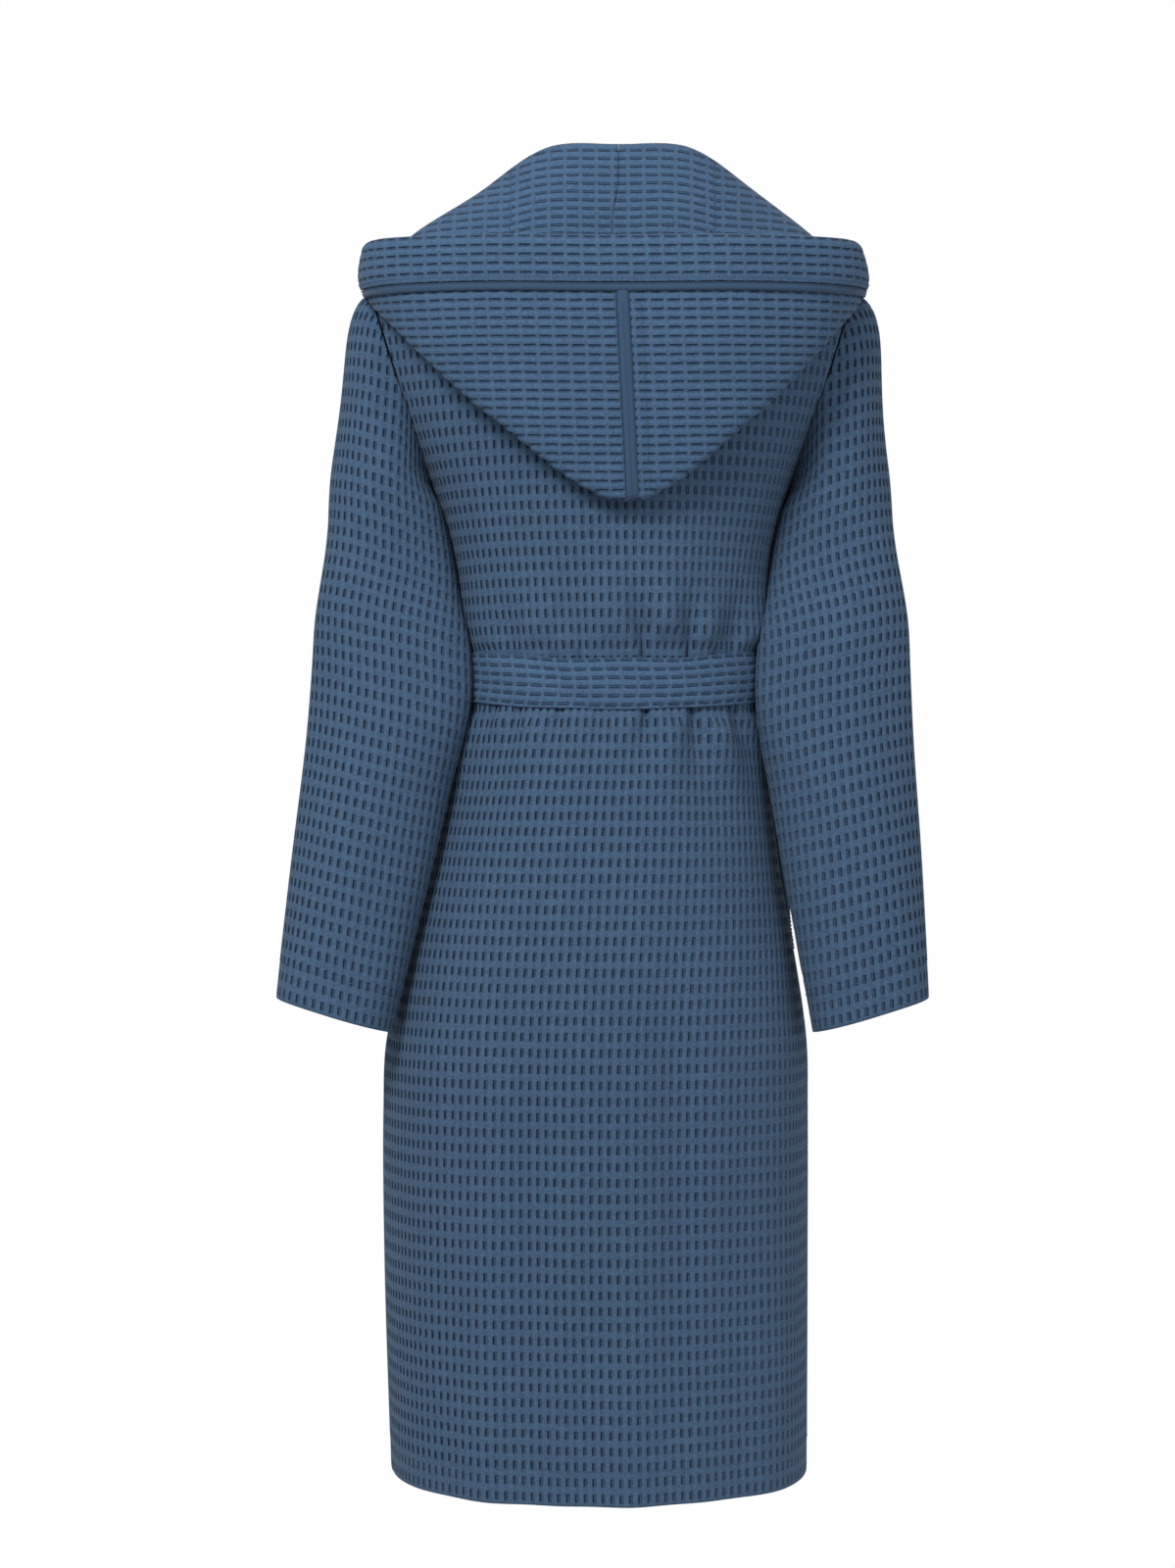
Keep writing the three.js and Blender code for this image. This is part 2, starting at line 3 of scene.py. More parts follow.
import bmesh
import bpy
import numpy as np
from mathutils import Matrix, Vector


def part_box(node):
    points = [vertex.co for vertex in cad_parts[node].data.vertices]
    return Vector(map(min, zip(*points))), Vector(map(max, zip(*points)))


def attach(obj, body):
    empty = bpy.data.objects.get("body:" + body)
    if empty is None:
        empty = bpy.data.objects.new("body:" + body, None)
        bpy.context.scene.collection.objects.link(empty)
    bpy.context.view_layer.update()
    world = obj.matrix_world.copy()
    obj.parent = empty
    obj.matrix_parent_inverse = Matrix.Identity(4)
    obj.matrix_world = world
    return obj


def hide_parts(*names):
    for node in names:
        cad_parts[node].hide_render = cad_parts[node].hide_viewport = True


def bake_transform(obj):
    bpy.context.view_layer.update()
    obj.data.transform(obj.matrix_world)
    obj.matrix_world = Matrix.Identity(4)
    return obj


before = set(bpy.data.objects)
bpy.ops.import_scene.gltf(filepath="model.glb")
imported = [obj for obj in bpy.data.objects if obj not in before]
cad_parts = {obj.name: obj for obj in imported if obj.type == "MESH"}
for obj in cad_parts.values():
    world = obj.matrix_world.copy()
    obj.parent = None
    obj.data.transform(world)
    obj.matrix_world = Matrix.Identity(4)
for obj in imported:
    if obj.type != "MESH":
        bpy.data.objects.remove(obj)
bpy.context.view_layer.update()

print("frame loaded:", len(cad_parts), "pieces of cloth")


def addObject(name, data):
    made = bpy.data.objects.new(name, data)
    bpy.context.scene.collection.objects.link(made)
    return made


# camera
view = {"distance": 2.8, "height": 0.62, "side": -0.0216, "lens": 71.6, "sensor": 36}

cameraData = bpy.data.cameras.new("camera")
cameraData.lens = view["lens"]
cameraData.sensor_width = view["sensor"]
camera = addObject("camera", cameraData)
camera.location = (view["side"], -view["distance"], view["height"])
camera.rotation_euler = (math.pi / 2, 0, 0)
bpy.context.scene.camera = camera


# shader maths
class Wire:
    # a node's output, which can stand in sums
    def __init__(self, shader, socket):
        self.shader = shader
        self.socket = socket

    def joined(self, operation, first, second):
        return self.shader.node("ShaderNodeMath", {"operation": operation}, {0: first, 1: second})

    def __add__(self, other):
        return self.joined("ADD", self, other)

    def __radd__(self, other):
        return self.joined("ADD", other, self)

    def __sub__(self, other):
        return self.joined("SUBTRACT", self, other)

    def __rsub__(self, other):
        return self.joined("SUBTRACT", other, self)

    def __mul__(self, other):
        return self.joined("MULTIPLY", self, other)

    def __rmul__(self, other):
        return self.joined("MULTIPLY", other, self)

    def __truediv__(self, other):
        return self.joined("DIVIDE", self, other)


class Shader:
    def __init__(self, name):
        self.material = bpy.data.materials.new(name)
        self.material.use_nodes = True
        self.tree = self.material.node_tree
        self.tree.nodes.clear()

    def node(self, kind, settings=None, inputs=None, output=0):
        made = self.tree.nodes.new(kind)
        for key, value in (settings or {}).items():
            setattr(made, key, value)
        for key, value in (inputs or {}).items():
            if isinstance(value, Wire):
                self.tree.links.new(value.socket, made.inputs[key])
            else:
                made.inputs[key].default_value = value
        return Wire(self, made.outputs[output]) if len(made.outputs) else None

    def smooth(self, value, start, end):
        return self.node("ShaderNodeMapRange", {"interpolation_type": "SMOOTHSTEP"},
                         {"Value": value, "From Min": start, "From Max": end})

    def offMiddle(self, value):
        # how far a repeating value is from the middle of its cell, 0 to 0.5
        part = self.node("ShaderNodeMath", {"operation": "FRACT"}, {0: value})
        return self.node("ShaderNodeMath", {"operation": "ABSOLUTE"}, {0: part - 0.5})

    def mixColour(self, share, first, second, blend="MIX"):
        return self.node("ShaderNodeMix", {"data_type": "RGBA", "blend_type": blend},
                         {0: share, 6: first, 7: second}, output=2)

    def noise(self, vector, scale, detail=2):
        return self.node("ShaderNodeTexNoise", {"noise_dimensions": "3D"},
                         {"Vector": vector, "Scale": scale, "Detail": detail, "Roughness": 0.55})

    def shaded(self, colour, shade):
        grey = self.node("ShaderNodeCombineColor", {}, {0: shade, 1: shade, 2: shade})
        return self.mixColour(1.0, colour, grey, "MULTIPLY")

    def parts(self, vector):
        split = self.tree.nodes.new("ShaderNodeSeparateXYZ")
        self.tree.links.new(vector.socket, split.inputs[0])
        return Wire(self, split.outputs[0]), Wire(self, split.outputs[1])

    def finish(self, colour, normal, finishes):
        inputs = {"Base Color": colour, "Normal": normal, **finishes}
        cloth = self.node("ShaderNodeBsdfPrincipled", {}, inputs)
        self.node("ShaderNodeOutputMaterial", {}, {"Surface": cloth})
        return self.material


def linear(colour):
    # screen colour, 0 to 255, as light
    return tuple((part / 255) ** 2.2 for part in colour) + (1,)


weave = {
    "across": 0.0076, "up": 0.0137,         # one cell of the waffle
    "depth": 0.0010,                        # how far the pits lie below the ridges
}
# half the pit and its shadow line as shares of the cell, and how dark each is painted: the pit floor and the
# shadow line are painted shade
pits = {
    "upright": {"width": 0.20, "height": 0.25, "floor": 0.42,
                "shadowAt": -0.13, "shadowWidth": 0.10, "shadow": 0.55},
    "turned": {"width": 0.17, "height": 0.35, "floor": 0.35,
               "shadowAt": -0.10, "shadowWidth": 0.11, "shadow": 0.5},
}


def waffleMaterial(name, turned, colour, pitShadeColour, pit):
    shader = Shader(name)
    place = shader.node("ShaderNodeTexCoord", {}, {}, "Object")
    sewn = shader.node("ShaderNodeUVMap", {"uv_map": "weave"})
    wander = shader.node("ShaderNodeTexNoise", {"noise_dimensions": "3D"},
                         {"Vector": place, "Scale": 60, "Detail": 1}, "Color")
    shift = shader.node("ShaderNodeVectorMath", {"operation": "SCALE"}, {0: wander, "Scale": 0.0011})
    moved = shader.node("ShaderNodeVectorMath", {"operation": "ADD"}, {0: sewn, 1: shift})
    moved = shader.node("ShaderNodeVectorMath", {"operation": "SUBTRACT"},
                        {0: moved, 1: (0.00055, 0.00055, 0)})
    alongX, alongY = shader.parts(moved)
    narrow, tall = (alongY, alongX) if turned else (alongX, alongY)
    acrossCell = shader.offMiddle(narrow / weave["across"])
    upCell = shader.offMiddle(tall / weave["up"])
    width, height = pit["width"], pit["height"]
    # masks for painted shade: the pit floor, a painted shadow line beside it and the groove between pits
    inside = 1 - shader.smooth(acrossCell, width * 0.7, width * 1.3)
    between = 1 - shader.smooth(upCell, height * 0.85, height * 1.25)
    floor = inside * between
    part = shader.node("ShaderNodeMath", {"operation": "FRACT"}, {0: narrow / weave["across"]})
    side = shader.node("ShaderNodeMath", {"operation": "ABSOLUTE"}, {0: part - (0.5 + pit["shadowAt"])})
    shadow = (1 - shader.smooth(side, pit["shadowWidth"] * 0.4, pit["shadowWidth"])) * between
    groove = (1 - shader.smooth(acrossCell, 0.02, width * 1.6)) * 0.28
    thread = shader.noise(sewn, 560, 2)
    heather = shader.noise(place, 14, 3)
    worn = shader.noise(place, 3.1, 2)
    fuzz = shader.noise(place, 330, 2)
    fleck = shader.noise(place, 1100, 1)
    shade = (0.86 + (thread - 0.5) * 0.8 + heather * 0.12 + worn * 0.14
             + (fuzz - 0.5) * 0.7 + (fleck - 0.5) * 0.35)
    plain = shader.shaded(colour, shade)
    # painted shade: the pits, their shadow line and the grooves are darkened towards the pit colour
    paintedShade = floor * pit["floor"] + shadow * pit["shadow"] + groove * (1 - between) * 0.4
    dark = shader.mixColour(paintedShade, plain, pitShadeColour)
    relief = (0.55 - acrossCell) * -0.35 + thread * 0.3 + fuzz * 0.2 - floor
    bump = shader.node("ShaderNodeBump", {}, {"Strength": 0.9, "Distance": 0.0012, "Height": relief})
    return shader.finish(dark, bump, {"Roughness": 0.93, "Sheen Weight": 0.05,
                                      "Sheen Roughness": 0.5, "Specular IOR Level": 0.15})


def tapeMaterial(name, colour, ribs, ribShade=0.25):
    # a fine ribbed tape or a smooth label, with painted shade in the rib hollows
    shader = Shader(name)
    sewn = shader.node("ShaderNodeUVMap", {"uv_map": "weave"})
    place = shader.node("ShaderNodeTexCoord", {}, {}, "Object")
    rib = shader.offMiddle(shader.parts(sewn)[0] / ribs)
    thread = shader.noise(place, 700, 2)
    # painted shade: the rib hollows darker than the ridges
    shade = 0.9 + rib * ribShade * 0.6 + (thread - 0.5) * 0.25
    plain = shader.shaded(colour, shade)
    bump = shader.node("ShaderNodeBump", {}, {"Strength": 0.5, "Distance": 0.0004,
                                              "Height": rib + thread * 0.4})
    return shader.finish(plain, bump, {"Roughness": 0.85, "Sheen Weight": 0.1,
                                       "Specular IOR Level": 0.2})


# the cloth's dyes, and under "pit" a dark colour for the painted shade in the waffle's pits
dyesAndPitShade = {"body": (66, 88, 113), "hood": (68, 92, 120), "tape": (56, 78, 104), "pit": (18, 32, 50),
        "thread": (62, 84, 111), "label": (222, 220, 214)}

bodyCloth = waffleMaterial("waffle_cloth", False, linear(dyesAndPitShade["body"]), linear(dyesAndPitShade["pit"]), pits["upright"])
hoodCloth = waffleMaterial("crosswise_waffle_cloth", True, linear(dyesAndPitShade["hood"]), linear(dyesAndPitShade["pit"]),
                           pits["turned"])
tapeCloth = tapeMaterial("cotton_tape", linear(dyesAndPitShade["tape"]), 0.0016)
labelCloth = tapeMaterial("label_cloth", linear(dyesAndPitShade["label"]), 0.0009, 0.1)
threadFinish = tapeMaterial("sewing_thread", linear(dyesAndPitShade["thread"]), 0.0008)
print("cloth finishes made")


# lines and sections
def steps(value, start, end):
    share = np.clip((value - start) / (end - start), 0, 1)
    return share * share * (3 - 2 * share)


def hump(value, middle, spread):
    return np.exp(-(((value - middle) / spread) ** 2))


def throughStations(heights, values, height):
    # a smooth curve through the stations, whose slopes are the mean of their neighbours'
    heights, values = np.array(heights, float), np.array(values, float)
    chords = np.diff(values) / np.diff(heights)
    slopes = np.concatenate([chords[:1], (chords[1:] + chords[:-1]) / 2, chords[-1:]])
    height = np.clip(height, heights[0], heights[-1])
    index = np.clip(np.searchsorted(heights, height, side="right") - 1, 0, len(heights) - 2)
    gap = heights[index + 1] - heights[index]
    t = (height - heights[index]) / gap
    return ((2 * t**3 - 3 * t**2 + 1) * values[index] + (t**3 - 2 * t**2 + t) * gap * slopes[index]
            + (3 * t**2 - 2 * t**3) * values[index + 1] + (t**3 - t**2) * gap * slopes[index + 1])


def smoothLine(points, t):
    # a rounded line through points, one line for each place in t, with t from 0 to 1
    t = np.clip(np.asarray(t, float), 0, 1)
    points = np.asarray(points, float)
    if points.ndim == 2:
        points = np.broadcast_to(points.reshape((len(points),) + (1,) * t.ndim + (3,)),
                                 (len(points),) + t.shape + (3,))
    chain = np.concatenate([2 * points[:1] - points[1:2], points, 2 * points[-1:] - points[-2:-1]])
    spans = len(points) - 1
    index = np.minimum((t * spans).astype(int), spans - 1)
    part = (t * spans - index)[..., None]
    a, b, c, d = (np.take_along_axis(chain, (index + k)[None, ..., None], axis=0)[0] for k in range(4))
    gaps = [np.maximum(np.linalg.norm(q - p, axis=-1, keepdims=True) ** 0.5, 1e-6)
            for p, q in ((a, b), (b, c), (c, d))]
    start = ((b - a) / gaps[0] - (c - a) / (gaps[0] + gaps[1]) + (c - b) / gaps[1]) * gaps[1]
    end = ((c - b) / gaps[1] - (d - b) / (gaps[1] + gaps[2]) + (d - c) / gaps[2]) * gaps[1]
    return (b + start * part + (3 * (c - b) - 2 * start - end) * part**2
            + (2 * (b - c) + start + end) * part**3)


def lengthAlong(points, axis=0):
    # the distance walked along one axis of a grid of points
    walked = np.cumsum(np.linalg.norm(np.diff(points, axis=axis), axis=-1), axis=axis)
    first = np.zeros_like(np.take(walked, [0], axis=axis))
    return np.concatenate([first, walked], axis=axis)


def normalsOf(points, centre):
    # unit normals of a grid, pointing away from centre
    across, up = np.gradient(points, axis=1), np.gradient(points, axis=0)
    normal = np.cross(across, up)
    normal /= np.maximum(np.linalg.norm(normal, axis=-1, keepdims=True), 1e-12)
    sign = np.sign(np.sum(normal * (points - centre)))
    return normal * sign, sign


def takeAt(grid, places, wanted):
    # each row of grid read at its own wanted places
    return np.stack([np.stack([np.interp(w, p, g[:, k]) for k in range(3)], axis=-1)
                     for g, p, w in zip(grid, places, wanted)])


def takeDown(grid, walk, rows):
    # each column of grid read at the same distances down it
    return np.stack([np.stack([np.interp(rows, walk[:, j], grid[:, j, k]) for k in range(3)], axis=-1)
                     for j in range(grid.shape[1])], axis=1)


# making cloth
upright = {"across": weave["across"], "up": weave["up"],
           "columns": [0.0, 0.30, 0.5, 0.70], "rows": [0.22, 0.40, 0.60, 0.78],
           "relief": [[0.5, 0.35, 0.1, 0.35], [0.5, 0.1, -1, 0.1],
                      [0.5, 0.1, -1, 0.1], [0.5, 0.35, 0.1, 0.35]]}
turned = {"across": weave["up"], "up": weave["across"],
          "columns": upright["rows"], "rows": upright["columns"],
          "relief": [list(row) for row in zip(*upright["relief"])]}


def phasesOf(low, high, cell, shares):
    # places of vertices in every cell between low and high, and the share number of each
    first, last = math.floor(low / cell) - 1, math.ceil(high / cell) + 1
    places = [((k + share) * cell, n) for k in range(first, last) for n, share in enumerate(shares)]
    inside = [(p, n) for p, n in places if low + cell * 0.02 < p < high - cell * 0.02]
    return (np.array([low] + [p for p, n in inside] + [high]),
            np.array([-1] + [n for p, n in inside] + [-1]))


def meshFrom(name, points, faces, weaves, material):
    mesh = bpy.data.meshes.new(name)
    mesh.from_pydata(points.tolist(), [], faces)
    layer = mesh.uv_layers.new(name="weave")
    corners = np.zeros(len(mesh.loops), np.int32)
    mesh.loops.foreach_get("vertex_index", corners)
    layer.data.foreach_set("uv", weaves[corners].astype(np.float32).ravel())
    mesh.polygons.foreach_set("use_smooth", np.ones(len(mesh.polygons), bool))
    made = bmesh.new()
    made.from_mesh(mesh)
    bmesh.ops.remove_doubles(made, verts=made.verts, dist=2e-6)
    bmesh.ops.dissolve_degenerate(made, dist=1e-7, edges=made.edges)
    made.to_mesh(mesh)
    made.free()
    mesh.materials.append(material)
    return addObject(name + "_cloth", mesh)


def clothMesh(name, middle, normal, sign, places, thickness, relief, material, underStep=4,
              underRelief=None, underPlaces=None):
    # a closed sheet: a fine outer layer, an inner layer with every underStep-th row and column, and rims
    rows, columns = middle.shape[:2]
    apart = np.linalg.norm(middle[:, 0] - middle[:, -1], axis=-1) > 1e-5
    meeting = ~apart[:, None]
    joined = normal[:, 0] + normal[:, -1]
    joined = joined / np.maximum(np.linalg.norm(joined, axis=-1, keepdims=True), 1e-12)
    middle, normal = middle.copy(), normal.copy()
    middle[:, -1] = np.where(meeting, middle[:, 0], middle[:, -1])
    normal[:, 0] = np.where(meeting, joined, normal[:, 0])
    normal[:, -1] = np.where(meeting, joined, normal[:, -1])
    upper = middle + normal * (thickness / 2 + relief)[..., None]
    underRows = list(range(0, rows - 1, underStep)) + [rows - 1]
    underColumns = list(range(0, columns - 1, underStep)) + [columns - 1]
    pick = np.ix_(underRows, underColumns)
    down = thickness / 2 + (np.zeros_like(relief) if underRelief is None else underRelief)[pick]
    lower = middle[pick] - normal[pick] * down[..., None]
    points = np.concatenate([upper.reshape(-1, 3), lower.reshape(-1, 3)])
    underPlaces = places if underPlaces is None else underPlaces
    weaves = np.concatenate([places.reshape(-1, 2), underPlaces[pick].reshape(-1, 2)])
    outer = np.arange(rows * columns).reshape(rows, columns)
    inner = rows * columns + np.arange(lower.shape[0] * lower.shape[1]).reshape(lower.shape[:2])

    def quads(index):
        return np.stack([index[:-1, :-1], index[:-1, 1:], index[1:, 1:], index[1:, :-1]], -1).reshape(-1, 4)

    def rim(line, under, marks, forward):
        # one face for each pair of neighbours on the inner layer's edge
        for k in range(len(marks) - 1):
            face = [int(n) for n in line[marks[k]:marks[k + 1] + 1]] + [int(under[k + 1]), int(under[k])]
            faces.append(face if forward else face[::-1])

    faces = quads(outer).tolist() + quads(inner)[:, ::-1].tolist()
    rim(outer[0], inner[0], underColumns, False)
    rim(outer[-1], inner[-1], underColumns, True)
    for k, (near, far) in enumerate(zip(underRows, underRows[1:])):
        if apart[near] or apart[far]:
            rim(outer[near:far + 1, 0], inner[k:k + 2, 0], [0, far - near], True)
            rim(outer[near:far + 1, -1], inner[k:k + 2, -1], [0, far - near], False)
    if sign < 0:
        faces = [face[::-1] for face in faces]
    return meshFrom(name, points, faces, weaves, material)


def flatCut(places):
    # the size that a cloth was cut to, from its places in the weave
    u, v = places[..., 0], places[..., 1]
    widths = u.max(axis=1) - u.min(axis=1)
    heights = v.mean(axis=1)
    area = float(np.sum((widths[1:] + widths[:-1]) / 2 * np.abs(np.diff(heights))))
    return (float(u.max() - u.min()), float(v.max() - v.min())), area


def declare(piece, body, nodes, cut=None, fromBody=None, start=None, end=None):
    if fromBody:
        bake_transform(piece)
    else:
        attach(piece, body)
    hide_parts(*nodes)
    cut and min(cut[0]) > 0.01
    return piece


def weaveCloth(name, sections, centre, walked, rowPlaces, pattern, thickness, material, low=None, high=None,
               bothSides=False, fade=None, depth=weave["depth"], underAt=None):
    # Lays a woven cloth over sections, one row of points for each row of the mesh. Columns follow the
    # grain at a steady distance from its middle, and where a row ends they are gathered into its edge.
    normal, sign = normalsOf(sections, centre)
    low = walked[:, 0] if low is None else np.maximum(low, walked[:, 0])
    high = walked[:, -1] if high is None else np.minimum(high, walked[:, -1])
    high = np.maximum(high, low)
    columns, columnShare = phasesOf(low.min(), high.max(), pattern["across"], pattern["columns"])
    wanted = np.clip(columns[None, :], low[:, None], high[:, None])
    middle = takeAt(sections, walked, wanted)
    normal = takeAt(normal, walked, wanted)
    normal /= np.maximum(np.linalg.norm(normal, axis=-1, keepdims=True), 1e-12)
    rows, rowShare = rowPlaces
    table = np.array(pattern["relief"] + [[0] * len(pattern["columns"])], float)
    table = np.concatenate([table, np.zeros((len(table), 1))], axis=1)
    relief = table[rowShare[:, None], columnShare[None, :]] * depth
    edge = np.minimum(columns[None, :] - low[:, None], high[:, None] - columns[None, :])
    relief = relief * (edge > 1e-6)
    if fade is not None:
        relief = relief * fade(rows)[:, None]
    places = np.stack([wanted, np.broadcast_to(rows[:, None], wanted.shape)], axis=-1)
    underPlaces = underAt(middle) if underAt else None
    piece = clothMesh(name, middle, normal, sign, places, thickness, relief, material,
                      1 if bothSides else 4, relief if bothSides and not underAt else None, underPlaces)
    return piece, flatCut(places)


def stripMesh(name, grid, centre, thickness, material):
    # a plain strip or patch over a grid of points
    normal, sign = normalsOf(grid, centre)
    places = np.stack([lengthAlong(grid, axis=1), lengthAlong(grid, axis=0)], axis=-1)
    piece = clothMesh(name, grid, normal, sign, places, thickness, np.zeros(grid.shape[:2]), material, 1)
    return piece, flatCut(places)


def raised(grid, centre, lift):
    normal, _ = normalsOf(grid, centre)
    return grid + normal * np.asarray(lift)[..., None]


sides = {"left": -1, "right": 1}
beltBox, backBox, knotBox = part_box("belt"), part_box("back_panel"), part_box("belt_knot")
hemHeight = backBox[0].z
waistHeight = (beltBox[0].z + beltBox[1].z) / 2

# body
body = {
    "heights": [hemHeight, 0.200, 0.330, 0.390, 0.560, waistHeight, 0.885, 1.050],
    "halfWidths": [0.1845, 0.1880, 0.1885, 0.1865, 0.151, 0.130, 0.158, 0.270],
    "halfDepths": [0.146, 0.148, 0.149, 0.147, 0.124, 0.105, 0.117, 0.110],
    "sways": [-0.0115, -0.0140, -0.0143, -0.0135, -0.005, 0.002, 0, 0],
    "squares": [2.2, 2.2, 2.2, 2.2, 2.2, 2.2, 2.6, 4],
    "roundness": 2.4, "ridge": 1.146, "ridgeSlope": 0.25,
    "armholeFoot": (0.158, 0.885), "armholeTop": (0.212, 1.056),
    "neckHalfWidth": 0.0742, "neckHeight": 1.127, "neckDip": 0.0424,
    "overlap": 0.070, "wrapHeight": 0.820, "underDip": 0.0102,
    "thickness": 0.0035, "seam": 0.0003,
    "gather": 0.15, "gatherReach": 0.10, "creaseStrength": 1.7,
    "hem": 0.031, "backHemRise": 0.005, "sideHemRise": 0.009,
}
# folds that start at the belt: place, lean, depth, length and half width, above it and below it
creases = {
    1: [(-0.049, 0.05, 0.0022, 0.06, 0.005), (-0.029, 0.04, 0.0022, 0.07, 0.005),
        (0.026, -0.05, 0.0050, 0.07, 0.0045), (0.0655, 0.0, 0.0055, 0.06, 0.0045),
        (0.090, 0.10, 0.0035, 0.10, 0.008), (0.103, 0.15, 0.003, 0.08, 0.005),
        (-0.085, -0.05, 0.002, 0.05, 0.006)],
    -1: [(-0.080, -0.22, 0.0035, 0.09, 0.005), (-0.100, -0.3, 0.0025, 0.10, 0.005),
         (-0.045, -0.10, 0.0022, 0.08, 0.005), (0.028, 0.03, 0.0045, 0.035, 0.0045),
         (0.068, 0.17, 0.0050, 0.10, 0.0050), (0.103, 0.28, 0.0035, 0.10, 0.0050),
         (-0.012, -0.02, 0.0015, 0.06, 0.006)],
}


def bodyAt(height):
    return [throughStations(body["heights"], body[key], height)
            for key in ("halfWidths", "halfDepths", "sways", "squares")]


def bodyHigh(x, height):
    ridge = body["ridge"] - body["ridgeSlope"] * np.abs(x)
    foot = body["armholeFoot"][1]
    return np.clip((height - foot) / (ridge - foot), 0, None) ** body["roundness"]


def bodyDepth(x, height):
    # how far the cloth stands from the side seams' plane
    halfWidth, halfDepth, sway, square = bodyAt(height)
    left = 1 - (np.abs(x - sway) / halfWidth) ** square - bodyHigh(x, height)
    return halfDepth * np.clip(left, 0, None) ** (1 / body["roundness"])


def bodySections(heights, facing, samples=201):
    # level cuts through the body, from its left side to its right side
    angle = np.linspace(math.pi, 0, samples)[None, :]
    z = np.asarray(heights)[:, None]
    halfWidth, halfDepth, sway, square = bodyAt(z)
    near, far = np.zeros((len(z), samples)), np.full((len(z), samples), 0.6)
    for _ in range(34):
        reach = (near + far) / 2
        x, y = sway + reach * np.cos(angle), reach * np.sin(angle)
        full = (np.abs(x - sway) / halfWidth) ** square + (y / halfDepth) ** body["roundness"]
        inside = full + bodyHigh(x, z) < 1
        near, far = np.where(inside, reach, near), np.where(inside, far, reach)
    y = facing * (near * np.sin(angle) + body["seam"])
    return np.stack([sway + near * np.cos(angle), y, np.broadcast_to(z, near.shape)], axis=-1)


def armholeEdge(height):
    (footSide, foot), (topSide, top) = body["armholeFoot"], body["armholeTop"]
    edge = footSide + (topSide - footSide) / (top - foot) * (np.asarray(height) - foot)
    return np.where((height < foot) | (height > top), 1.0, edge)


def openingReach(height):
    # how far a front edge lies past the middle, below 0 where the neck opens
    slant = (body["neckHalfWidth"] + body["overlap"]) / (body["neckHeight"] - body["wrapHeight"])
    return np.minimum(body["overlap"], slant * (body["neckHeight"] - height) - body["neckHalfWidth"])


def backFolds(x, z, facing):
    beltHalf = 0.022
    fold = np.zeros_like(x)
    for direction, lines in creases.items():
        away = direction * (z - waistHeight) - beltHalf
        reach = np.where(away > -beltHalf, 1.0, 0.0)
        for start, lean, depth, length, width in lines:
            line = facing * -1 * start + facing * -1 * lean * np.clip(away, 0, None)
            spread = width * (1 + 4 * np.clip(away, 0, None) / 0.1)
            fading = np.exp(-(np.clip(away, 0, None) / length) ** 2)
            strength = body["creaseStrength"] * depth * reach * fading
            fold -= strength * hump(x, line, spread)
            fold += 0.55 * strength * (hump(x, line + 2 * spread, spread * 1.3)
                                       + hump(x, line - 2 * spread, spread * 1.3))
        fold += 0.0030 * hump(away, 0.035, 0.035) * (away > 0)
    # under the belt the cloth is pressed flat
    fold = np.minimum(fold, 0.0006 + 0.012 * steps(np.abs(z - waistHeight), 0.024, 0.055))
    skirt = steps(z, 0.62, 0.30)
    sway = np.sin(2 * math.pi * (x / 0.127 + 0.13) + 1.2 * np.sin(3.1 * z))
    fold += 0.0024 * skirt * sway + 0.0012 * skirt * np.sin(2 * math.pi * (x / 0.061 - 0.4 * z))
    upper = steps(z, 0.75, 0.85) * steps(z, 1.05, 0.95)
    return fold + 0.0012 * upper * np.sin(2 * math.pi * (x / 0.09 + 0.9 * z))


profile = {"heights": np.linspace(hemHeight, body["neckHeight"], 900), "side": 0.12}
profileDepth = bodyDepth(profile["side"], profile["heights"])
profileWalk = np.concatenate([[0], np.cumsum(np.hypot(np.diff(profile["heights"]), np.diff(profileDepth)))])
panelRows = phasesOf(0, profileWalk[-1], upright["up"], upright["rows"])
panelHeights = np.interp(panelRows[0], profileWalk, profile["heights"])
clothPerGirth = 1 + body["gather"] * hump(panelHeights, waistHeight, body["gatherReach"])


def panelSections(facing):
    sections = bodySections(panelHeights, facing)
    walked = lengthAlong(sections, axis=1)
    walked = (walked - walked[:, [100]]) * clothPerGirth[:, None]
    centre = sections * [0, 0, 1]
    inside = np.minimum(1, np.abs(sections[..., 1]) / 0.03)
    folds = backFolds(sections[..., 0], sections[..., 2], facing)
    sections = raised(sections, centre, folds * inside * (1 if facing < 0 else 0.7))
    middleRise = body["backHemRise"] if facing < 0 else 0
    outer = np.clip(np.abs(sections[..., 0] - body["sways"][0]) / body["halfWidths"][0], 0, 1) ** 2
    rise = middleRise + (body["sideHemRise"] - middleRise) * outer
    sections[..., 2] += rise * (1 - steps(panelHeights, 0, 0.2))[:, None]
    return sections, walked, centre


def walkTo(sections, walked, side):
    # how far along each row its cloth reaches a given side place
    return np.array([np.interp(s, row[:, 0], w) for s, row, w in zip(side, sections, walked)])


def hemFade(rows):
    return 1 - 0.65 * (steps(rows, body["hem"] + 0.001, body["hem"] - 0.003))


def backPanel():
    sections, walked, centre = panelSections(-1)
    edge = armholeEdge(panelHeights)
    low, high = walkTo(sections, walked, -edge), walkTo(sections, walked, edge)
    x, z = sections[..., 0], sections[..., 2]
    neckShare = np.clip(np.abs(x) / body["neckHalfWidth"], 0, 1)
    lowered = np.clip((z - 1.03) / (body["neckHeight"] - 1.03), 0, 1) ** 1.6
    dipped = z - body["neckDip"] * (1 - neckShare**2) * lowered
    sections[..., 2] = np.where(neckShare < 1, dipped, z)
    sections[..., 1] = np.where((neckShare < 1) & (z > 1.03), -bodyDepth(x, dipped) - body["seam"],
                                sections[..., 1])
    piece, cut = weaveCloth("back_panel", sections, centre, walked, panelRows, upright, body["thickness"],
                            bodyCloth, low, high, fade=hemFade)
    declare(piece, "robe", ["back_panel"], cut)
    return sections


frontGrids = {}


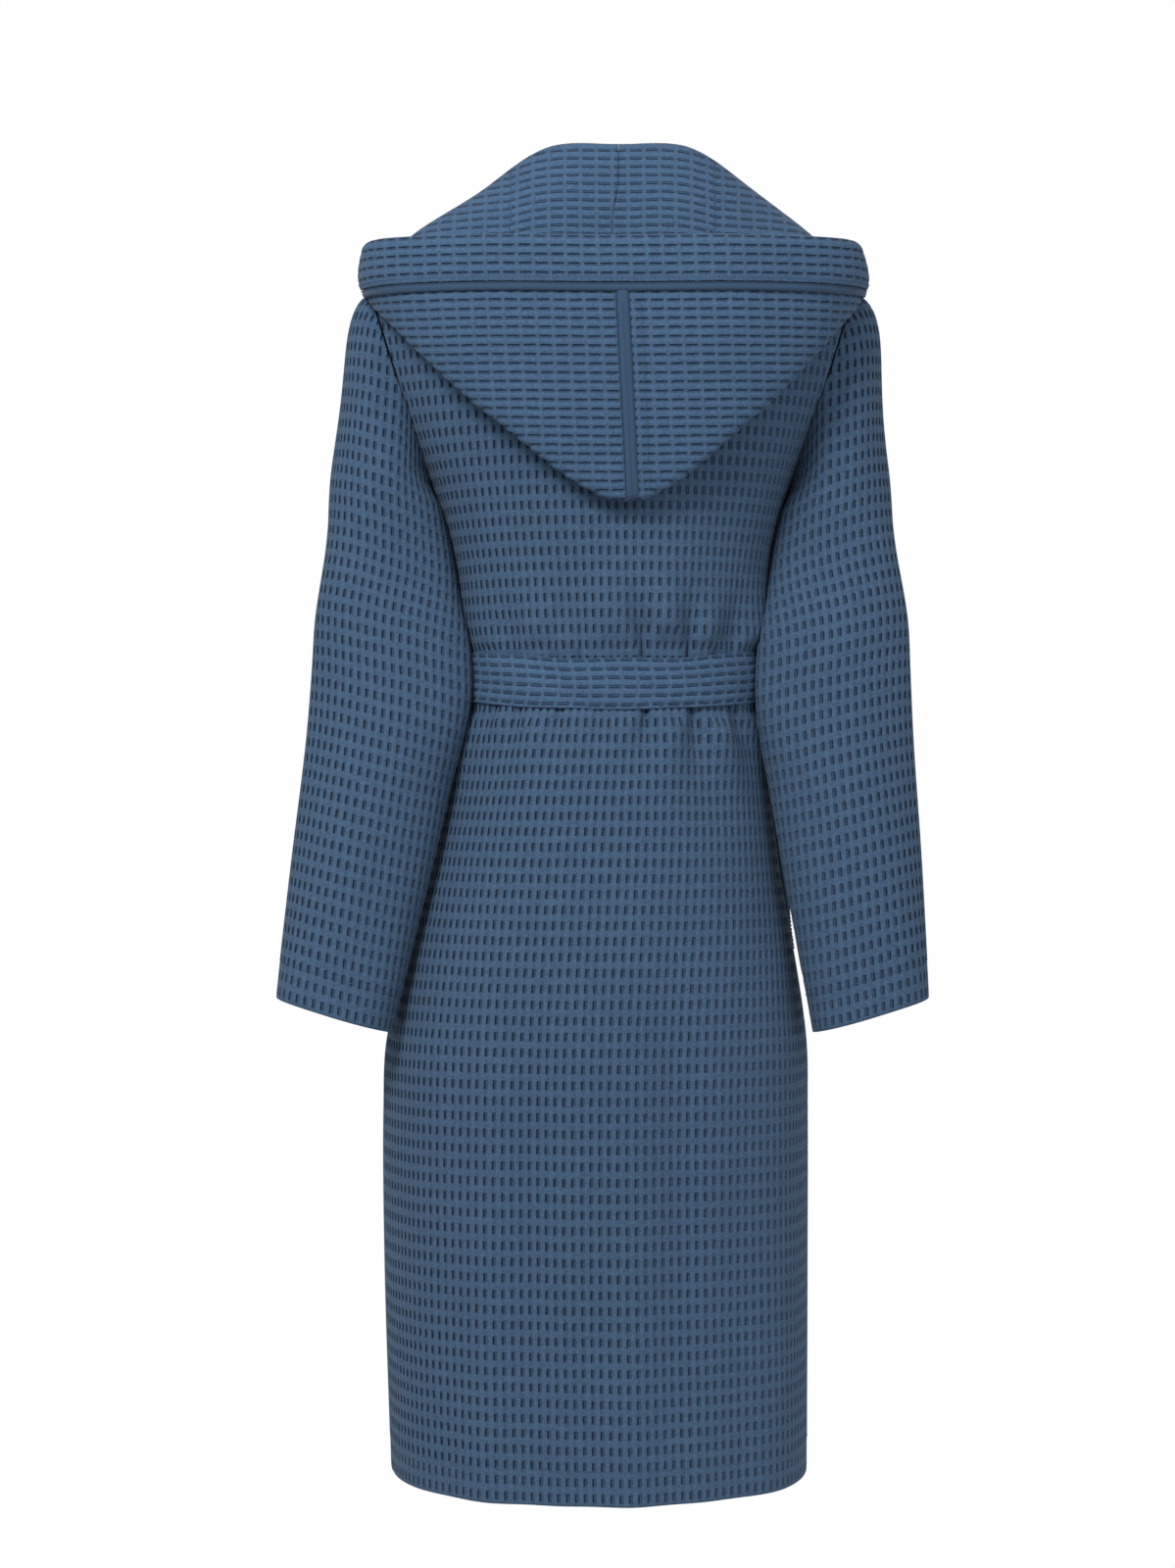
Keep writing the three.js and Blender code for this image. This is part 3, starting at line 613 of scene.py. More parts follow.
def frontPanel(name, side):
    sections, walked, centre = panelSections(1)
    reach = openingReach(panelHeights)
    if side > 0:
        beyond = sections[..., 0] - reach[:, None]
        sections = raised(sections, centre, -body["underDip"] * (1 - steps(beyond, 0.010, 0.056)))
    edge = armholeEdge(panelHeights)
    opening = walkTo(sections, walked, -side * reach)
    armhole = walkTo(sections, walked, side * edge)
    frontGrids[side] = (sections, walked, opening, centre)
    low, high = (armhole, opening) if side < 0 else (opening, armhole)
    piece, cut = weaveCloth(f"front_panel_{name}", sections, centre, walked, panelRows, upright,
                            body["thickness"], bodyCloth, low, high, fade=hemFade)
    declare(piece, "robe", [f"front_panel_{name}"], cut)


def frontBand(name, side):
    # the doubled band down an opening edge
    sections, walked, opening, centre = frontGrids[side]
    keep = panelHeights < 1.112
    rows = int(keep.sum())
    wanted = opening[:, None] + side * np.linspace(0.0012, 0.0415, 24)[None, :]
    if side < 0:
        wanted = wanted[:, ::-1]
    middle = takeAt(sections, walked, wanted)[:rows]
    middle = raised(middle, centre[:rows, :24] * [0, 0, 1], np.full(middle.shape[:2], 0.0043))
    walk = lengthAlong(middle, axis=1)
    piece, cut = weaveCloth(f"front_band_{name}", middle, middle * [0, 0, 1], walk,
                            (panelRows[0][:rows], panelRows[1][:rows]), upright, 0.003, bodyCloth,
                            depth=0.0006)
    declare(piece, "robe", [f"front_band_{name}"], cut)


backSections = backPanel()
for name, side in sides.items():
    frontPanel(name, side)
    frontBand(name, side)
print("body panels laid")


# sleeves
sleeve = {
    "cuffHeight": 0.419, "cuffHalfWidth": 0.052, "cuffHalfDepth": 0.039, "cuffBack": 0.075, "cuffTilt": 17,
    "elbowSide": {-1: 0.199, 1: 0.194}, "headSide": {-1: 0.198, 1: 0.195},
    "cuffOut": {-1: -0.001, 1: 0.007}, "shoulderFull": {-1: 0.016, 1: 0.021},
    "elbowBack": 0.038, "upperHalfWidth": 0.090, "upperHalfDepth": 0.062,
    "headShare": 0.3, "seam": 0.0022, "clearance": 0.0045, "hem": 0.034, "samples": 201,
    "blendFrom": 0.004, "blendTo": 0.032,           # two places out from the armhole, passed to declare as start and end
}
sleeveLines = {}


def armholePoints(side, turn):
    # the armhole by turns, from its top at 0 round the back to the underarm at a half
    (footSide, foot), (topSide, top) = body["armholeFoot"], body["armholeTop"]
    z = np.linspace(top, foot, 400)
    x = footSide + (topSide - footSide) * (z - foot) / (top - foot)
    line = np.stack([side * x, bodyDepth(x, z), z], axis=-1)
    line[0, 1] = line[-1, 1] = 0
    walked = lengthAlong(line)
    wanted = 2 * np.abs(turn) * walked[-1]
    found = np.stack([np.interp(wanted, walked, line[:, k]) for k in range(3)], axis=-1)
    found[..., 1] *= np.where(turn > 0, -1, 1)
    return found


def besideBody(grid, side, turn):
    # lays the sleeve's inner side against the body, and keeps the rest of it clear of the body
    x, y, z = grid[..., 0], grid[..., 1], grid[..., 2]
    halfWidth, halfDepth, sway, square = bodyAt(np.minimum(z, body["armholeFoot"][1]))
    left = np.clip(1 - (np.abs(y) / halfDepth) ** body["roundness"], 0, None)
    wall = halfWidth * left ** (1 / square) + sleeve["clearance"]
    out = side * (x - sway)
    inner = np.clip(-np.cos(2 * math.pi * turn), 0, 1) ** 1.5 * np.ones_like(x)
    near = steps(z, 0.60, 0.72) * steps(z, 0.90, 0.86)
    hugged = out + (wall - out) * inner * near
    beside = (z < body["armholeFoot"][1]) & (np.abs(y) < halfDepth)
    kept = np.where(beside, np.maximum(hugged, wall), hugged)
    return np.stack([side * kept + sway, y, z], axis=-1)


def sleeveGrid(side):
    (footSide, foot), (topSide, top) = body["armholeFoot"], body["armholeTop"]
    middle = np.array([side * (footSide + topSide) / 2, 0, (foot + top) / 2])
    tilt = math.atan2(top - foot, topSide - footSide)
    outward = np.array([side * math.sin(tilt), 0, -math.cos(tilt)])
    halfWidth, _, sway, _ = bodyAt(sleeve["cuffHeight"])
    cuffSide = halfWidth + sleeve["cuffHalfWidth"] - 0.002 + sleeve["cuffOut"][side]
    elbowHeight = waistHeight
    path = [middle,
            (side * sleeve["headSide"][side], -sleeve["elbowBack"] / 3, (middle[2] + elbowHeight) / 2),
            (side * sleeve["elbowSide"][side] + 0.002, -sleeve["elbowBack"], elbowHeight),
            (side * cuffSide + sway, -sleeve["cuffBack"], sleeve["cuffHeight"])]
    turn = np.linspace(-0.5, 0.5, sleeve["samples"])[None, :]
    v = np.linspace(1, 0, 161)[:, None]
    lean = tilt + (math.radians(sleeve["cuffTilt"]) - tilt) * steps(v, 0, 0.9)
    wide = sleeve["upperHalfWidth"] + (sleeve["cuffHalfWidth"] - sleeve["upperHalfWidth"]) * v**1.5
    deep = sleeve["upperHalfDepth"] + (sleeve["cuffHalfDepth"] - sleeve["upperHalfDepth"]) * v
    across, back = wide * np.cos(2 * math.pi * turn), deep * np.sin(2 * math.pi * turn)
    ring = np.stack([side * across * np.cos(lean), -back, across * np.sin(lean)], axis=-1)
    ring = ring + smoothLine(path, v[:, 0])[:, None, :]
    sewn = armholePoints(side, turn[0])[None] + outward * sleeve["seam"]
    share = steps(v, 0, sleeve["headShare"])[..., None]
    grid = sewn * (1 - share) + ring * share
    upper = np.clip(np.cos(2 * math.pi * turn), 0, 1) ** 0.5
    full = sleeve["shoulderFull"][side] * hump(v, 0.16, 0.10) * upper
    grid = grid + full[..., None] * np.array([side * 0.9, 0, 0.3]) * steps(v, 0, 0.06)[..., None]
    grid = besideBody(grid, side, turn)
    folds = 0.0022 * np.sin(2 * math.pi * (v * 3.1 + turn * 1.5 + 0.2))
    folds = folds * steps(v, 0.08, 0.25) * steps(v, 0.9, 0.6)
    folds = folds + 0.0016 * np.sin(2 * math.pi * (turn * 4 + v * 1.7)) * steps(v, 0.1, 0.3)
    folds = folds * np.sin(math.pi * np.clip(turn + 0.5, 0, 1)) ** 0.5
    centre = np.broadcast_to(grid.mean(axis=1, keepdims=True), grid.shape)
    return raised(grid, centre, folds * np.ones_like(grid[..., 0])), outward


def sleevePiece(name, side):
    grid, outward = sleeveGrid(side)
    samples = sleeve["samples"]
    half = samples // 2
    walk = lengthAlong(grid, axis=0)
    longest = walk[-1].copy()
    longest[half:] = np.minimum.accumulate(longest[half:])
    longest[:half + 1] = np.minimum.accumulate(longest[:half + 1][::-1])[::-1]
    rowPlaces = phasesOf(0, longest.max(), upright["up"], upright["rows"])
    rows = rowPlaces[0]
    sections = takeDown(grid, walk, rows)
    walked = lengthAlong(sections, axis=1)
    walked = walked - walked[:, [half]]
    index = np.arange(samples)
    highAt = np.interp(rows, longest[half:][::-1], index[half:][::-1])
    lowAt = np.interp(rows, longest[:half + 1], index[:half + 1])
    high = np.array([np.interp(a, index, w) for a, w in zip(highAt, walked)])
    low = np.array([np.interp(a, index, w) for a, w in zip(lowAt, walked)])
    firstApart = int(np.argmax((highAt < samples - 1) | (lowAt > 0)))
    # the tube opens into the armhole at a row that both layers have
    whole = 4 * math.ceil(firstApart / 4) + 1
    high[:whole], low[:whole] = walked[:whole, -1], walked[:whole, 0]
    sections[:whole, 0] = sections[:whole, -1]
    centre = np.broadcast_to(sections.mean(axis=1, keepdims=True), sections.shape)
    hem = sleeve["hem"]
    piece, cut = weaveCloth(f"sleeve_{name}", sections, centre, walked, rowPlaces, upright,
                            body["thickness"], bodyCloth, low, high,
                            fade=lambda places: 1 - 0.5 * steps(places, hem + 0.002, hem - 0.002))
    start = (armholePoints(side, np.array([0.0]))[0] + armholePoints(side, np.array([0.5]))[0]) / 2
    declare(piece, f"{name}_sleeve", [f"sleeve_{name}"], cut,
            fromBody="robe", start=tuple(start + outward * sleeve["blendFrom"]),
            end=tuple(start + outward * sleeve["blendTo"]))
    row = int(np.argmin(np.abs(rows - sleeve["hem"])))
    normal, _ = normalsOf(sections, centre)
    sleeveLines[name] = [sections[row] + normal[row] * (body["thickness"] / 2 + 0.0004)]


for name, side in sides.items():
    sleevePiece(name, side)
print("sleeves laid")


# hood
hood = {
    "roll": [(0, -0.084, 1.1715), (0.058, -0.076, 1.1715), (0.104, -0.045, 1.150), (0.124, 0.002, 1.137),
             (0.110, 0.046, 1.134), (0.088, 0.068, 1.124)],
    "lining": [(0, -0.122, 1.020), (0.092, -0.122, 1.040), (0.168, -0.078, 1.088), (0.180, -0.014, 1.104),
               (0.142, 0.048, 1.112), (0.102, 0.074, 1.112)],
    "fold": [(0, -0.136, 0.863), (0.108, -0.136, 0.932), (0.196, -0.092, 1.022), (0.214, -0.022, 1.054),
             (0.182, 0.052, 1.084), (0.134, 0.084, 1.092)],
    "face": [(0, -0.160, 0.975), (0.112, -0.156, 1.005), (0.202, -0.108, 1.048), (0.216, -0.034, 1.070),
             (0.170, 0.056, 1.098), (0.122, 0.088, 1.104)],
    "mouth": [(0, -0.167, 1.0775), (0.112, -0.161, 1.0790), (0.200, -0.112, 1.0835), (0.209, -0.040, 1.090),
              (0.138, 0.052, 1.112), (0.098, 0.082, 1.116)],
    "tip": 0.863, "mouthHeight": 1.087, "sway": 0.012, "seam": 0.0001, "thickness": 0.0035,
    "rollSway": 0.0055, "band": 0.0335, "bandReach": 11 / 12, "tape": 0.0068, "neckRise": 0.0071,
    "samples": 181, "blendFrom": 1.134, "blendTo": 1.166,
}


def wholeLine(right):
    right = np.array(right, float)
    return np.concatenate([right[:0:-1] * [-1, 1, 1], right])


def hoodPlaced(points, side):
    fallen = np.clip((hood["mouthHeight"] - points[..., 2]) / (hood["mouthHeight"] - hood["tip"]), 0, 1)
    risen = steps(points[..., 2], hood["mouthHeight"] + 0.015, hood["mouthHeight"] + 0.06)
    x = side * points[..., 0] + hood["sway"] * fallen + hood["rollSway"] * risen
    return np.concatenate([x[..., None], points[..., 1:]], axis=-1)


def hoodHalf(samples, stacks=181):
    # the right half, by rows from its mouth down to the fold and up inside to the roll
    share = 0.5 + np.linspace(0, 1, samples) / 2
    roll = smoothLine(wholeLine(hood["roll"]), share)
    ahead = np.gradient(roll, axis=0)
    away = np.stack([ahead[:, 1], -ahead[:, 0], 0 * ahead[:, 0]], axis=-1)
    away /= np.linalg.norm(away, axis=-1, keepdims=True)
    lines = [roll + [0, 0, 0.0042], roll + away * 0.0052 + [0, 0, 0.0006]]
    lines += [smoothLine(wholeLine(hood[key]), share) for key in ("lining", "fold", "face", "mouth")]
    lines = np.stack(lines)
    v = np.linspace(1, 0, stacks)[:, None] * np.ones(samples)
    points = smoothLine(np.broadcast_to(lines[:, None], (len(lines), stacks, samples, 3)), v)
    points[..., 0] += hood["seam"]
    return points


halfGrid = hoodHalf(hood["samples"])
halfWalk = lengthAlong(halfGrid, axis=0)


def liningPlaces(points):
    # the lining's rows run between level and the line of the roll
    roll = smoothLine(wholeLine(hood["roll"]), np.linspace(0.5, 1, 60))
    top = np.interp(np.abs(points[..., 0]), roll[:, 0], roll[:, 2])
    return np.stack([points[..., 0], points[..., 2] - 0.45 * top], axis=-1)


def hoodPiece(name, side):
    longest = np.minimum.accumulate(halfWalk[-1])
    rowPlaces = phasesOf(0, longest.max(), turned["up"], turned["rows"])
    rows = rowPlaces[0]
    sections = hoodPlaced(takeDown(halfGrid, halfWalk, rows), side)
    walked = lengthAlong(sections, axis=1)
    index = np.arange(hood["samples"])
    highAt = np.interp(rows, longest[::-1], index[::-1])
    high = np.array([np.interp(a, index, w) for a, w in zip(highAt, walked)])
    # the face side points away from the bag: back where the cloth is on its outside
    across, up = np.gradient(sections, axis=1), np.gradient(sections, axis=0)
    front = np.cross(across, up)[:20].mean(axis=(0, 1))
    centre = sections - np.cross(across, up) * np.sign(-front[1])
    piece, cut = weaveCloth(f"hood_{name}", sections, centre, walked, rowPlaces, turned, hood["thickness"],
                            hoodCloth, None, high, bothSides=True, underAt=liningPlaces)
    declare(piece, "hood", [f"hood_{name}"], cut)


def faceRow(share, distance, lift, side):
    # points on the hood's face, a share of each half and a distance below the mouth
    columnAt = np.asarray(share) * (hood["samples"] - 1)
    base = np.clip(np.floor(columnAt).astype(int), 0, hood["samples"] - 2)
    part = (columnAt - base)[:, None]

    def down(d):
        found = takeDown(halfGrid, halfWalk, [d])[0]
        return found[base] * (1 - part) + found[base + 1] * part

    here, lower = down(max(distance, 0)), down(max(distance, 0) + 0.004)
    fall = (lower - here) / np.linalg.norm(lower - here, axis=-1, keepdims=True)
    along = np.gradient(here, axis=0)
    along[0] = along[1]
    outward = np.cross(fall, along)
    outward /= np.linalg.norm(outward, axis=-1, keepdims=True)
    outward *= np.sign(-outward[0, 1])
    return hoodPlaced(here + outward * lift + fall * min(distance, 0), side)


def bandRow(distance, lift, reach, count=161):
    share = np.linspace(0, reach, count)
    right = faceRow(share, distance, lift, 1)
    left = faceRow(share, distance, lift, -1)
    return np.concatenate([left[:0:-1], (left[:1] + right[:1]) / 2, right[1:]])


def hoodBand():
    # the hem round the hood's mouth, turned over its edge
    profileLine = np.array([(0.016, -0.0042), (0.006, -0.0044), (-0.0005, -0.0042), (-0.0034, -0.0026),
                            (-0.0046, 0.0), (-0.0036, 0.0030), (-0.0005, 0.0048), (0.006, 0.0054),
                            (0.012, 0.0057), (0.019, 0.0057), (0.026, 0.0055), (0.031, 0.0050),
                            (0.0335, 0.0043)])
    walked = lengthAlong(np.column_stack([profileLine, np.zeros(len(profileLine))]))
    rowPlaces = phasesOf(0, walked[-1], turned["up"], turned["rows"])
    distance = np.interp(rowPlaces[0], walked, profileLine[:, 0])
    lift = np.interp(rowPlaces[0], walked, profileLine[:, 1])
    sections = np.stack([bandRow(d, h, hood["bandReach"]) for d, h in zip(distance, lift)])
    middleLine = bandRow(0.0, 0.0, hood["bandReach"])
    centre = np.broadcast_to(bandRow(0.020, 0.0, hood["bandReach"])[None], sections.shape).copy()
    centre[:] = middleLine * 0.35 + centre * 0.65
    walk = lengthAlong(sections, axis=1)
    walk = walk - walk[:, [walk.shape[1] // 2]]
    piece, cut = weaveCloth("hood_band", sections, centre, walk, rowPlaces, turned, 0.003, hoodCloth,
                            depth=0.0008)
    declare(piece, "hood", ["hood_band"], cut)


def hoodTapes():
    top, width = hood["band"] + 0.0004, hood["tape"]
    rows = [(0, 0.0018), (0.15, 0.0032), (0.5, 0.0036), (0.85, 0.0032), (1, 0.0018)]
    grid = np.stack([bandRow(top + share * width, lift + 0.0012, hood["bandReach"]) for share, lift in rows])
    piece, cut = stripMesh("hood_band_tape", grid, grid.mean(axis=0) + [0, 0.05, 0], 0.0014, tapeCloth)
    declare(piece, "hood", ["hood_band_tape"], cut)
    lengths = np.linspace(top + width, 0.222, 60)
    share = np.array([0.001, 0.004, 0.0095, 0.015, 0.018])
    lifts = np.array([0.0022, 0.0034, 0.0038, 0.0034, 0.0022])
    grid = np.stack([faceRow(share, d, 0.0, 1) + np.array([0, -1, 0]) * lifts[:, None] for d in lengths])
    piece, cut = stripMesh("hood_centre_tape", grid, grid + [0, 0.05, 0], 0.0014, tapeCloth)
    declare(piece, "hood", ["hood_centre_tape"], cut)


def hoodNeck():
    half = body["neckHalfWidth"]
    back = []
    for share in (0, 0.5, 1):
        height = body["neckHeight"] - body["neckDip"] * (1 - share**2)
        back.append((half * share, -float(bodyDepth(half * share, height)), height + hood["neckRise"]))
    front = []
    for height in (1.120, 1.107, 1.092):
        x = -float(openingReach(height))
        front.append((x, float(bodyDepth(x, height)), height + hood["neckRise"] * 0.8))
    t = np.linspace(0, 1, 241)
    neck = smoothLine(wholeLine(back + front), t)
    roll = smoothLine(wholeLine(hood["roll"]), t) + [hood["rollSway"], 0, 0]
    height = np.linalg.norm(roll - neck, axis=-1).max()
    rowPlaces = phasesOf(0, height, turned["up"], turned["rows"])
    share = (rowPlaces[0] / height)[:, None, None]
    sections = neck[None] * (1 - share) + roll[None] * share
    walked = lengthAlong(sections, axis=1)
    walked = walked - walked[:, [120]]
    piece, cut = weaveCloth("hood_neck", sections, sections * [0, 0, 1], walked, rowPlaces, turned,
                            hood["thickness"], hoodCloth)
    declare(piece, "hood", ["hood_neck"], cut,
            fromBody="robe", start=(0, 0, hood["blendFrom"]), end=(0, 0, hood["blendTo"]))


for name, side in sides.items():
    hoodPiece(name, side)
hoodBand()
hoodTapes()
hoodNeck()
print("hood laid")

# belt
belt = {"width": 0.044, "thickness": 0.003, "lift": 0.0040, "frontLift": 0.0091, "sideRise": 0.006,
        "backDrop": 0.0035, "endWidth": 0.040, "gatheredWidth": 0.014, "gatheredSpread": 0.009,
        "endSpread": 0.034, "wrapWidth": 0.034, "waistHalf": (0.130, 0.105)}


def beltLoop():
    rowPlaces = phasesOf(0, belt["width"], turned["up"], turned["rows"])
    low = waistHeight - belt["width"] / 2
    halfWidth, halfDepth = belt["waistHalf"]
    rings = []
    for place in rowPlaces[0]:
        front = bodySections([waistHeight], 1, 161)[0]
        back = bodySections([waistHeight], -1, 161)[0][::-1]
        ring = np.concatenate([front[80:], back[1:], front[1:81]])
        ring[:, 1] -= np.sign(ring[:, 1]) * body["seam"]
        turn = np.clip(ring[:, 1] / halfDepth, -1, 1)
        lift = belt["lift"] + (belt["frontLift"] - belt["lift"]) * steps(turn, 0.1, 0.5)
        outward = np.stack([ring[:, 0] / halfWidth**2, ring[:, 1] / halfDepth**2, 0 * ring[:, 0]], axis=-1)
        outward /= np.linalg.norm(outward, axis=-1, keepdims=True)
        ring = ring + outward * lift[:, None]
        rise = belt["sideRise"] * (1 - turn**2) - belt["backDrop"] * turn**2 * (turn < 0)
        share = place / belt["width"]
        rise = rise + 0.0012 * np.sin(ring[:, 0] * 70 + 1.0) * (share - 0.3)
        fullness = 0.0012 * math.sin(math.pi * share) + 0.0007 * np.sin(ring[:, 0] * 95 + 6 * share)
        ring = ring + outward * fullness[:, None]
        ring[:, 2] = low + place + rise
        ring[-1] = ring[0]
        rings.append(ring)
    sections = np.stack(rings)
    walked = lengthAlong(sections, axis=1)
    piece, cut = weaveCloth("belt", sections, sections * [0, 0, 1], walked, rowPlaces, turned,
                            belt["thickness"], hoodCloth, depth=0.0009)
    declare(piece, "robe", ["belt"], cut)


def beltEnd(name, side):
    low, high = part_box(f"belt_end_{name}")
    length = high.z - low.z
    rowPlaces = phasesOf(0, length, upright["up"], upright["rows"])
    v = rowPlaces[0] / length
    gathered = steps(v, 0.78, 1)
    spread = belt["endSpread"] + (belt["gatheredSpread"] - belt["endSpread"]) * gathered
    width = belt["endWidth"] + (belt["gatheredWidth"] - belt["endWidth"]) * gathered
    across = np.linspace(-0.5, 0.5, 41)
    x = (side * spread + 0.002)[:, None] + width[:, None] * across[None, :]
    z = np.broadcast_to((low.z + rowPlaces[0])[:, None], x.shape)
    y = bodyDepth(x, z) + 0.0129 + 0.0155 * gathered[:, None]
    y = y + (1 - gathered[:, None]) * 0.0012 * np.sin(9 * v + side)[:, None]
    y = y + gathered[:, None] * 0.0022 * np.cos(across * 4 * math.pi)[None, :]
    sections = np.stack([x, y, z], axis=-1)
    walked = lengthAlong(sections, axis=1)
    walked = walked * (belt["endWidth"] / width)[:, None]
    walked = walked - walked[:, [20]]
    piece, cut = weaveCloth(f"belt_end_{name}", sections, sections - [0, 0.05, 0], walked, rowPlaces, upright,
                            belt["thickness"], bodyCloth, depth=0.0007)
    declare(piece, f"{name}_belt_end", [f"belt_end_{name}"], cut)


def beltKnot():
    # the knot's folded body, and the turn of belt that wraps it
    low, high = (np.array(corner) for corner in knotBox)
    middle, half = (low + high) / 2, (high - low) / 2
    u = np.linspace(0, 2 * math.pi, 97)[None, :]
    w = np.linspace(-math.pi / 2, math.pi / 2, 49)[:, None]
    roundness = np.cos(w) ** 0.8
    pleat = 1 - 0.07 * np.abs(np.sin(2.5 * u + 1.1 * np.sin(w))) - 0.10 * hump(w, 0.0, 0.35)
    x = np.sin(w) * half[0] * 0.97 * np.ones_like(u)
    y = roundness * np.cos(u) * half[1] * 0.86 * pleat
    z = roundness * np.sin(u) * half[2] * 0.92 * pleat
    grid = np.stack([x, y, z], axis=-1) + middle
    grid[:, -1] = grid[:, 0]
    normal, sign = normalsOf(grid, middle)
    places = np.stack(np.broadcast_arrays(u * 0.02, w * 0.03), axis=-1)
    quads = [[r * 97 + c, r * 97 + c + 1, (r + 1) * 97 + c + 1, (r + 1) * 97 + c]
             for r in range(48) for c in range(96)]
    if sign < 0:
        quads = [face[::-1] for face in quads]
    piece = meshFrom("belt_knot", grid.reshape(-1, 3), quads, places.reshape(-1, 2), hoodCloth)
    declare(piece, "robe", ["belt_knot"])
    turn = np.linspace(0, 2 * math.pi, 121)
    rowPlaces = phasesOf(0, belt["wrapWidth"], turned["up"], turned["rows"])
    share = (rowPlaces[0] / belt["wrapWidth"] - 0.5)[:, None]
    wrapX = share * 0.030 + 0.006 * np.sin(turn)[None, :]
    wrapY = (half[1] * 0.90) * np.cos(turn)[None, :] * (1 - 0.25 * share**2)
    wrapZ = (half[2] * 0.93) * np.sin(turn)[None, :] * (1 - 0.18 * share**2)
    sections = np.stack([wrapX, wrapY, wrapZ], axis=-1) + middle
    sections[:, -1] = sections[:, 0]
    walked = lengthAlong(sections, axis=1)
    piece, cut = weaveCloth("belt_knot_wrap", sections, middle + (sections - middle) * [1, 0, 0], walked,
                            rowPlaces, turned, 0.0022, hoodCloth, depth=0.0006)
    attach(piece, "robe")


def beltCarrier(name, side):
    # a thread-stitched loop at the side seam that the belt runs through
    low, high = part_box(f"belt_loop_{name}")
    v = np.linspace(0, 1, 49)[:, None]
    z = low.z + (high.z - low.z) * v
    arch = steps(0.5 - np.abs(v - 0.5), 0.0, 0.2)
    halfWidth, _, sway, _ = bodyAt(z)
    out = halfWidth + 0.0030 + 0.0062 * arch
    y = (high.y - low.y) * np.linspace(-0.5, 0.5, 7)[None, :]
    x = side * out + sway
    grid = np.stack(np.broadcast_arrays(x, y, z), axis=-1)
    piece, cut = stripMesh(f"belt_loop_{name}", grid, grid * [0, 0, 1], 0.0016, tapeCloth)
    declare(piece, "robe", [f"belt_loop_{name}"], cut)


beltLoop()
beltKnot()
for name, side in sides.items():
    beltEnd(name, side)
    beltCarrier(name, side)
print("belt tied")

# pockets, and the trim inside the neck
pocket = {"bulge": 0.017, "gap": 0.0038, "sideShare": 0.14, "inside": 0.084, "hem": 0.026}
pocketLines = []


def pocketPiece(name, side):
    low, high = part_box(f"pocket_{name}")
    length = high.z - low.z
    rowPlaces = phasesOf(0, length, upright["up"], upright["rows"])
    heights = low.z + rowPlaces[0]
    sections = bodySections(heights, 1)
    walked = lengthAlong(sections, axis=1)
    inner = walkTo(sections, walked, np.full(len(heights), side * pocket["inside"]))
    outer = walked[:, 0] if side < 0 else walked[:, -1]
    outer = outer + (inner - outer) * pocket["sideShare"]
    u = np.linspace(0, 1, 81)
    first, last = (outer, inner) if side < 0 else (inner, outer)
    wanted = first[:, None] + (last - first)[:, None] * u
    grid = takeAt(sections, walked, wanted)
    v = (rowPlaces[0] / length)[:, None]
    fill = np.sin(math.pi * u)[None, :] ** 0.6 * steps(v, 0, 0.4)
    grid = raised(grid, grid * [0, 0, 1], pocket["gap"] + pocket["bulge"] * fill)
    walk = lengthAlong(grid, axis=1)
    walk = walk - walk[:, [40]]
    hem = length - pocket["hem"]
    piece, cut = weaveCloth(f"pocket_{name}", grid, grid * [0, 0, 1], walk, rowPlaces, upright, 0.003,
                            bodyCloth, fade=lambda rows: 1 - 0.5 * steps(rows, hem - 0.001, hem + 0.001))
    declare(piece, "robe", [f"pocket_{name}"], cut)
    normal, _ = normalsOf(grid, grid * [0, 0, 1])
    row = int(np.argmin(np.abs(rowPlaces[0] - hem)))
    pocketLines.append(grid[row] + normal[row] * 0.0021)
    for column in (2, -3):
        pocketLines.append(grid[:, column] + normal[:, column] * 0.0021)
    pocketLines.append(grid[3] + normal[3] * 0.0021)


def insidePatch(name, finish, lift):
    # trim sewn inside the back of the neck
    low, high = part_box(name)
    z = np.linspace(low.z, high.z, 9)[:, None]
    x = np.linspace(low.x, high.x, 25)[None, :]
    y = -bodyDepth(x, z) + lift
    grid = np.stack(np.broadcast_arrays(x, y, z), axis=-1)
    piece, cut = stripMesh(name, grid, grid - [0, 0.05, 0], 0.0014, finish)
    declare(piece, "robe", [name], cut)


def hangingLoop():
    low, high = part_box("hanging_loop")
    turn = np.linspace(0, math.pi, 49)[None, :]
    band = np.linspace(-0.5, 0.5, 5)[:, None] * 0.007
    halfWidth = (high.x - low.x) / 2 - 0.0035 + band
    drop = (high.z - low.z) - 0.0035 + band
    x = halfWidth * np.cos(turn)
    z = high.z - drop * np.sin(turn)
    y = np.full_like(x, (low.y + high.y) / 2)
    grid = np.stack([x, y, z], axis=-1)
    piece, cut = stripMesh("hanging_loop", grid, grid - [0, 0.05, 0], 0.0016, tapeCloth)
    declare(piece, "hanging_loop", ["hanging_loop"], cut)


def careLabel():
    low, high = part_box("care_label")
    z = np.linspace(low.z, high.z, 9)[:, None]
    x = np.linspace(low.x + 0.001, high.x, 15)[None, :]
    y = bodyDepth(x, z)
    grid = np.stack(np.broadcast_arrays(x + 0.0046, y, z), axis=-1)
    piece, cut = stripMesh("care_label", grid, grid + [-0.05, 0, 0], 0.0010, labelCloth)
    declare(piece, "robe", ["care_label"], cut)


for name, side in sides.items():
    pocketPiece(name, side)
insidePatch("neck_tape", tapeCloth, 0.0068)
insidePatch("neck_label", labelCloth, 0.0052)
hangingLoop()
careLabel()
print("pockets and trim laid")

# stitches
stitch = {"pitch": 0.0034, "length": 0.0026, "thread": 0.0009}


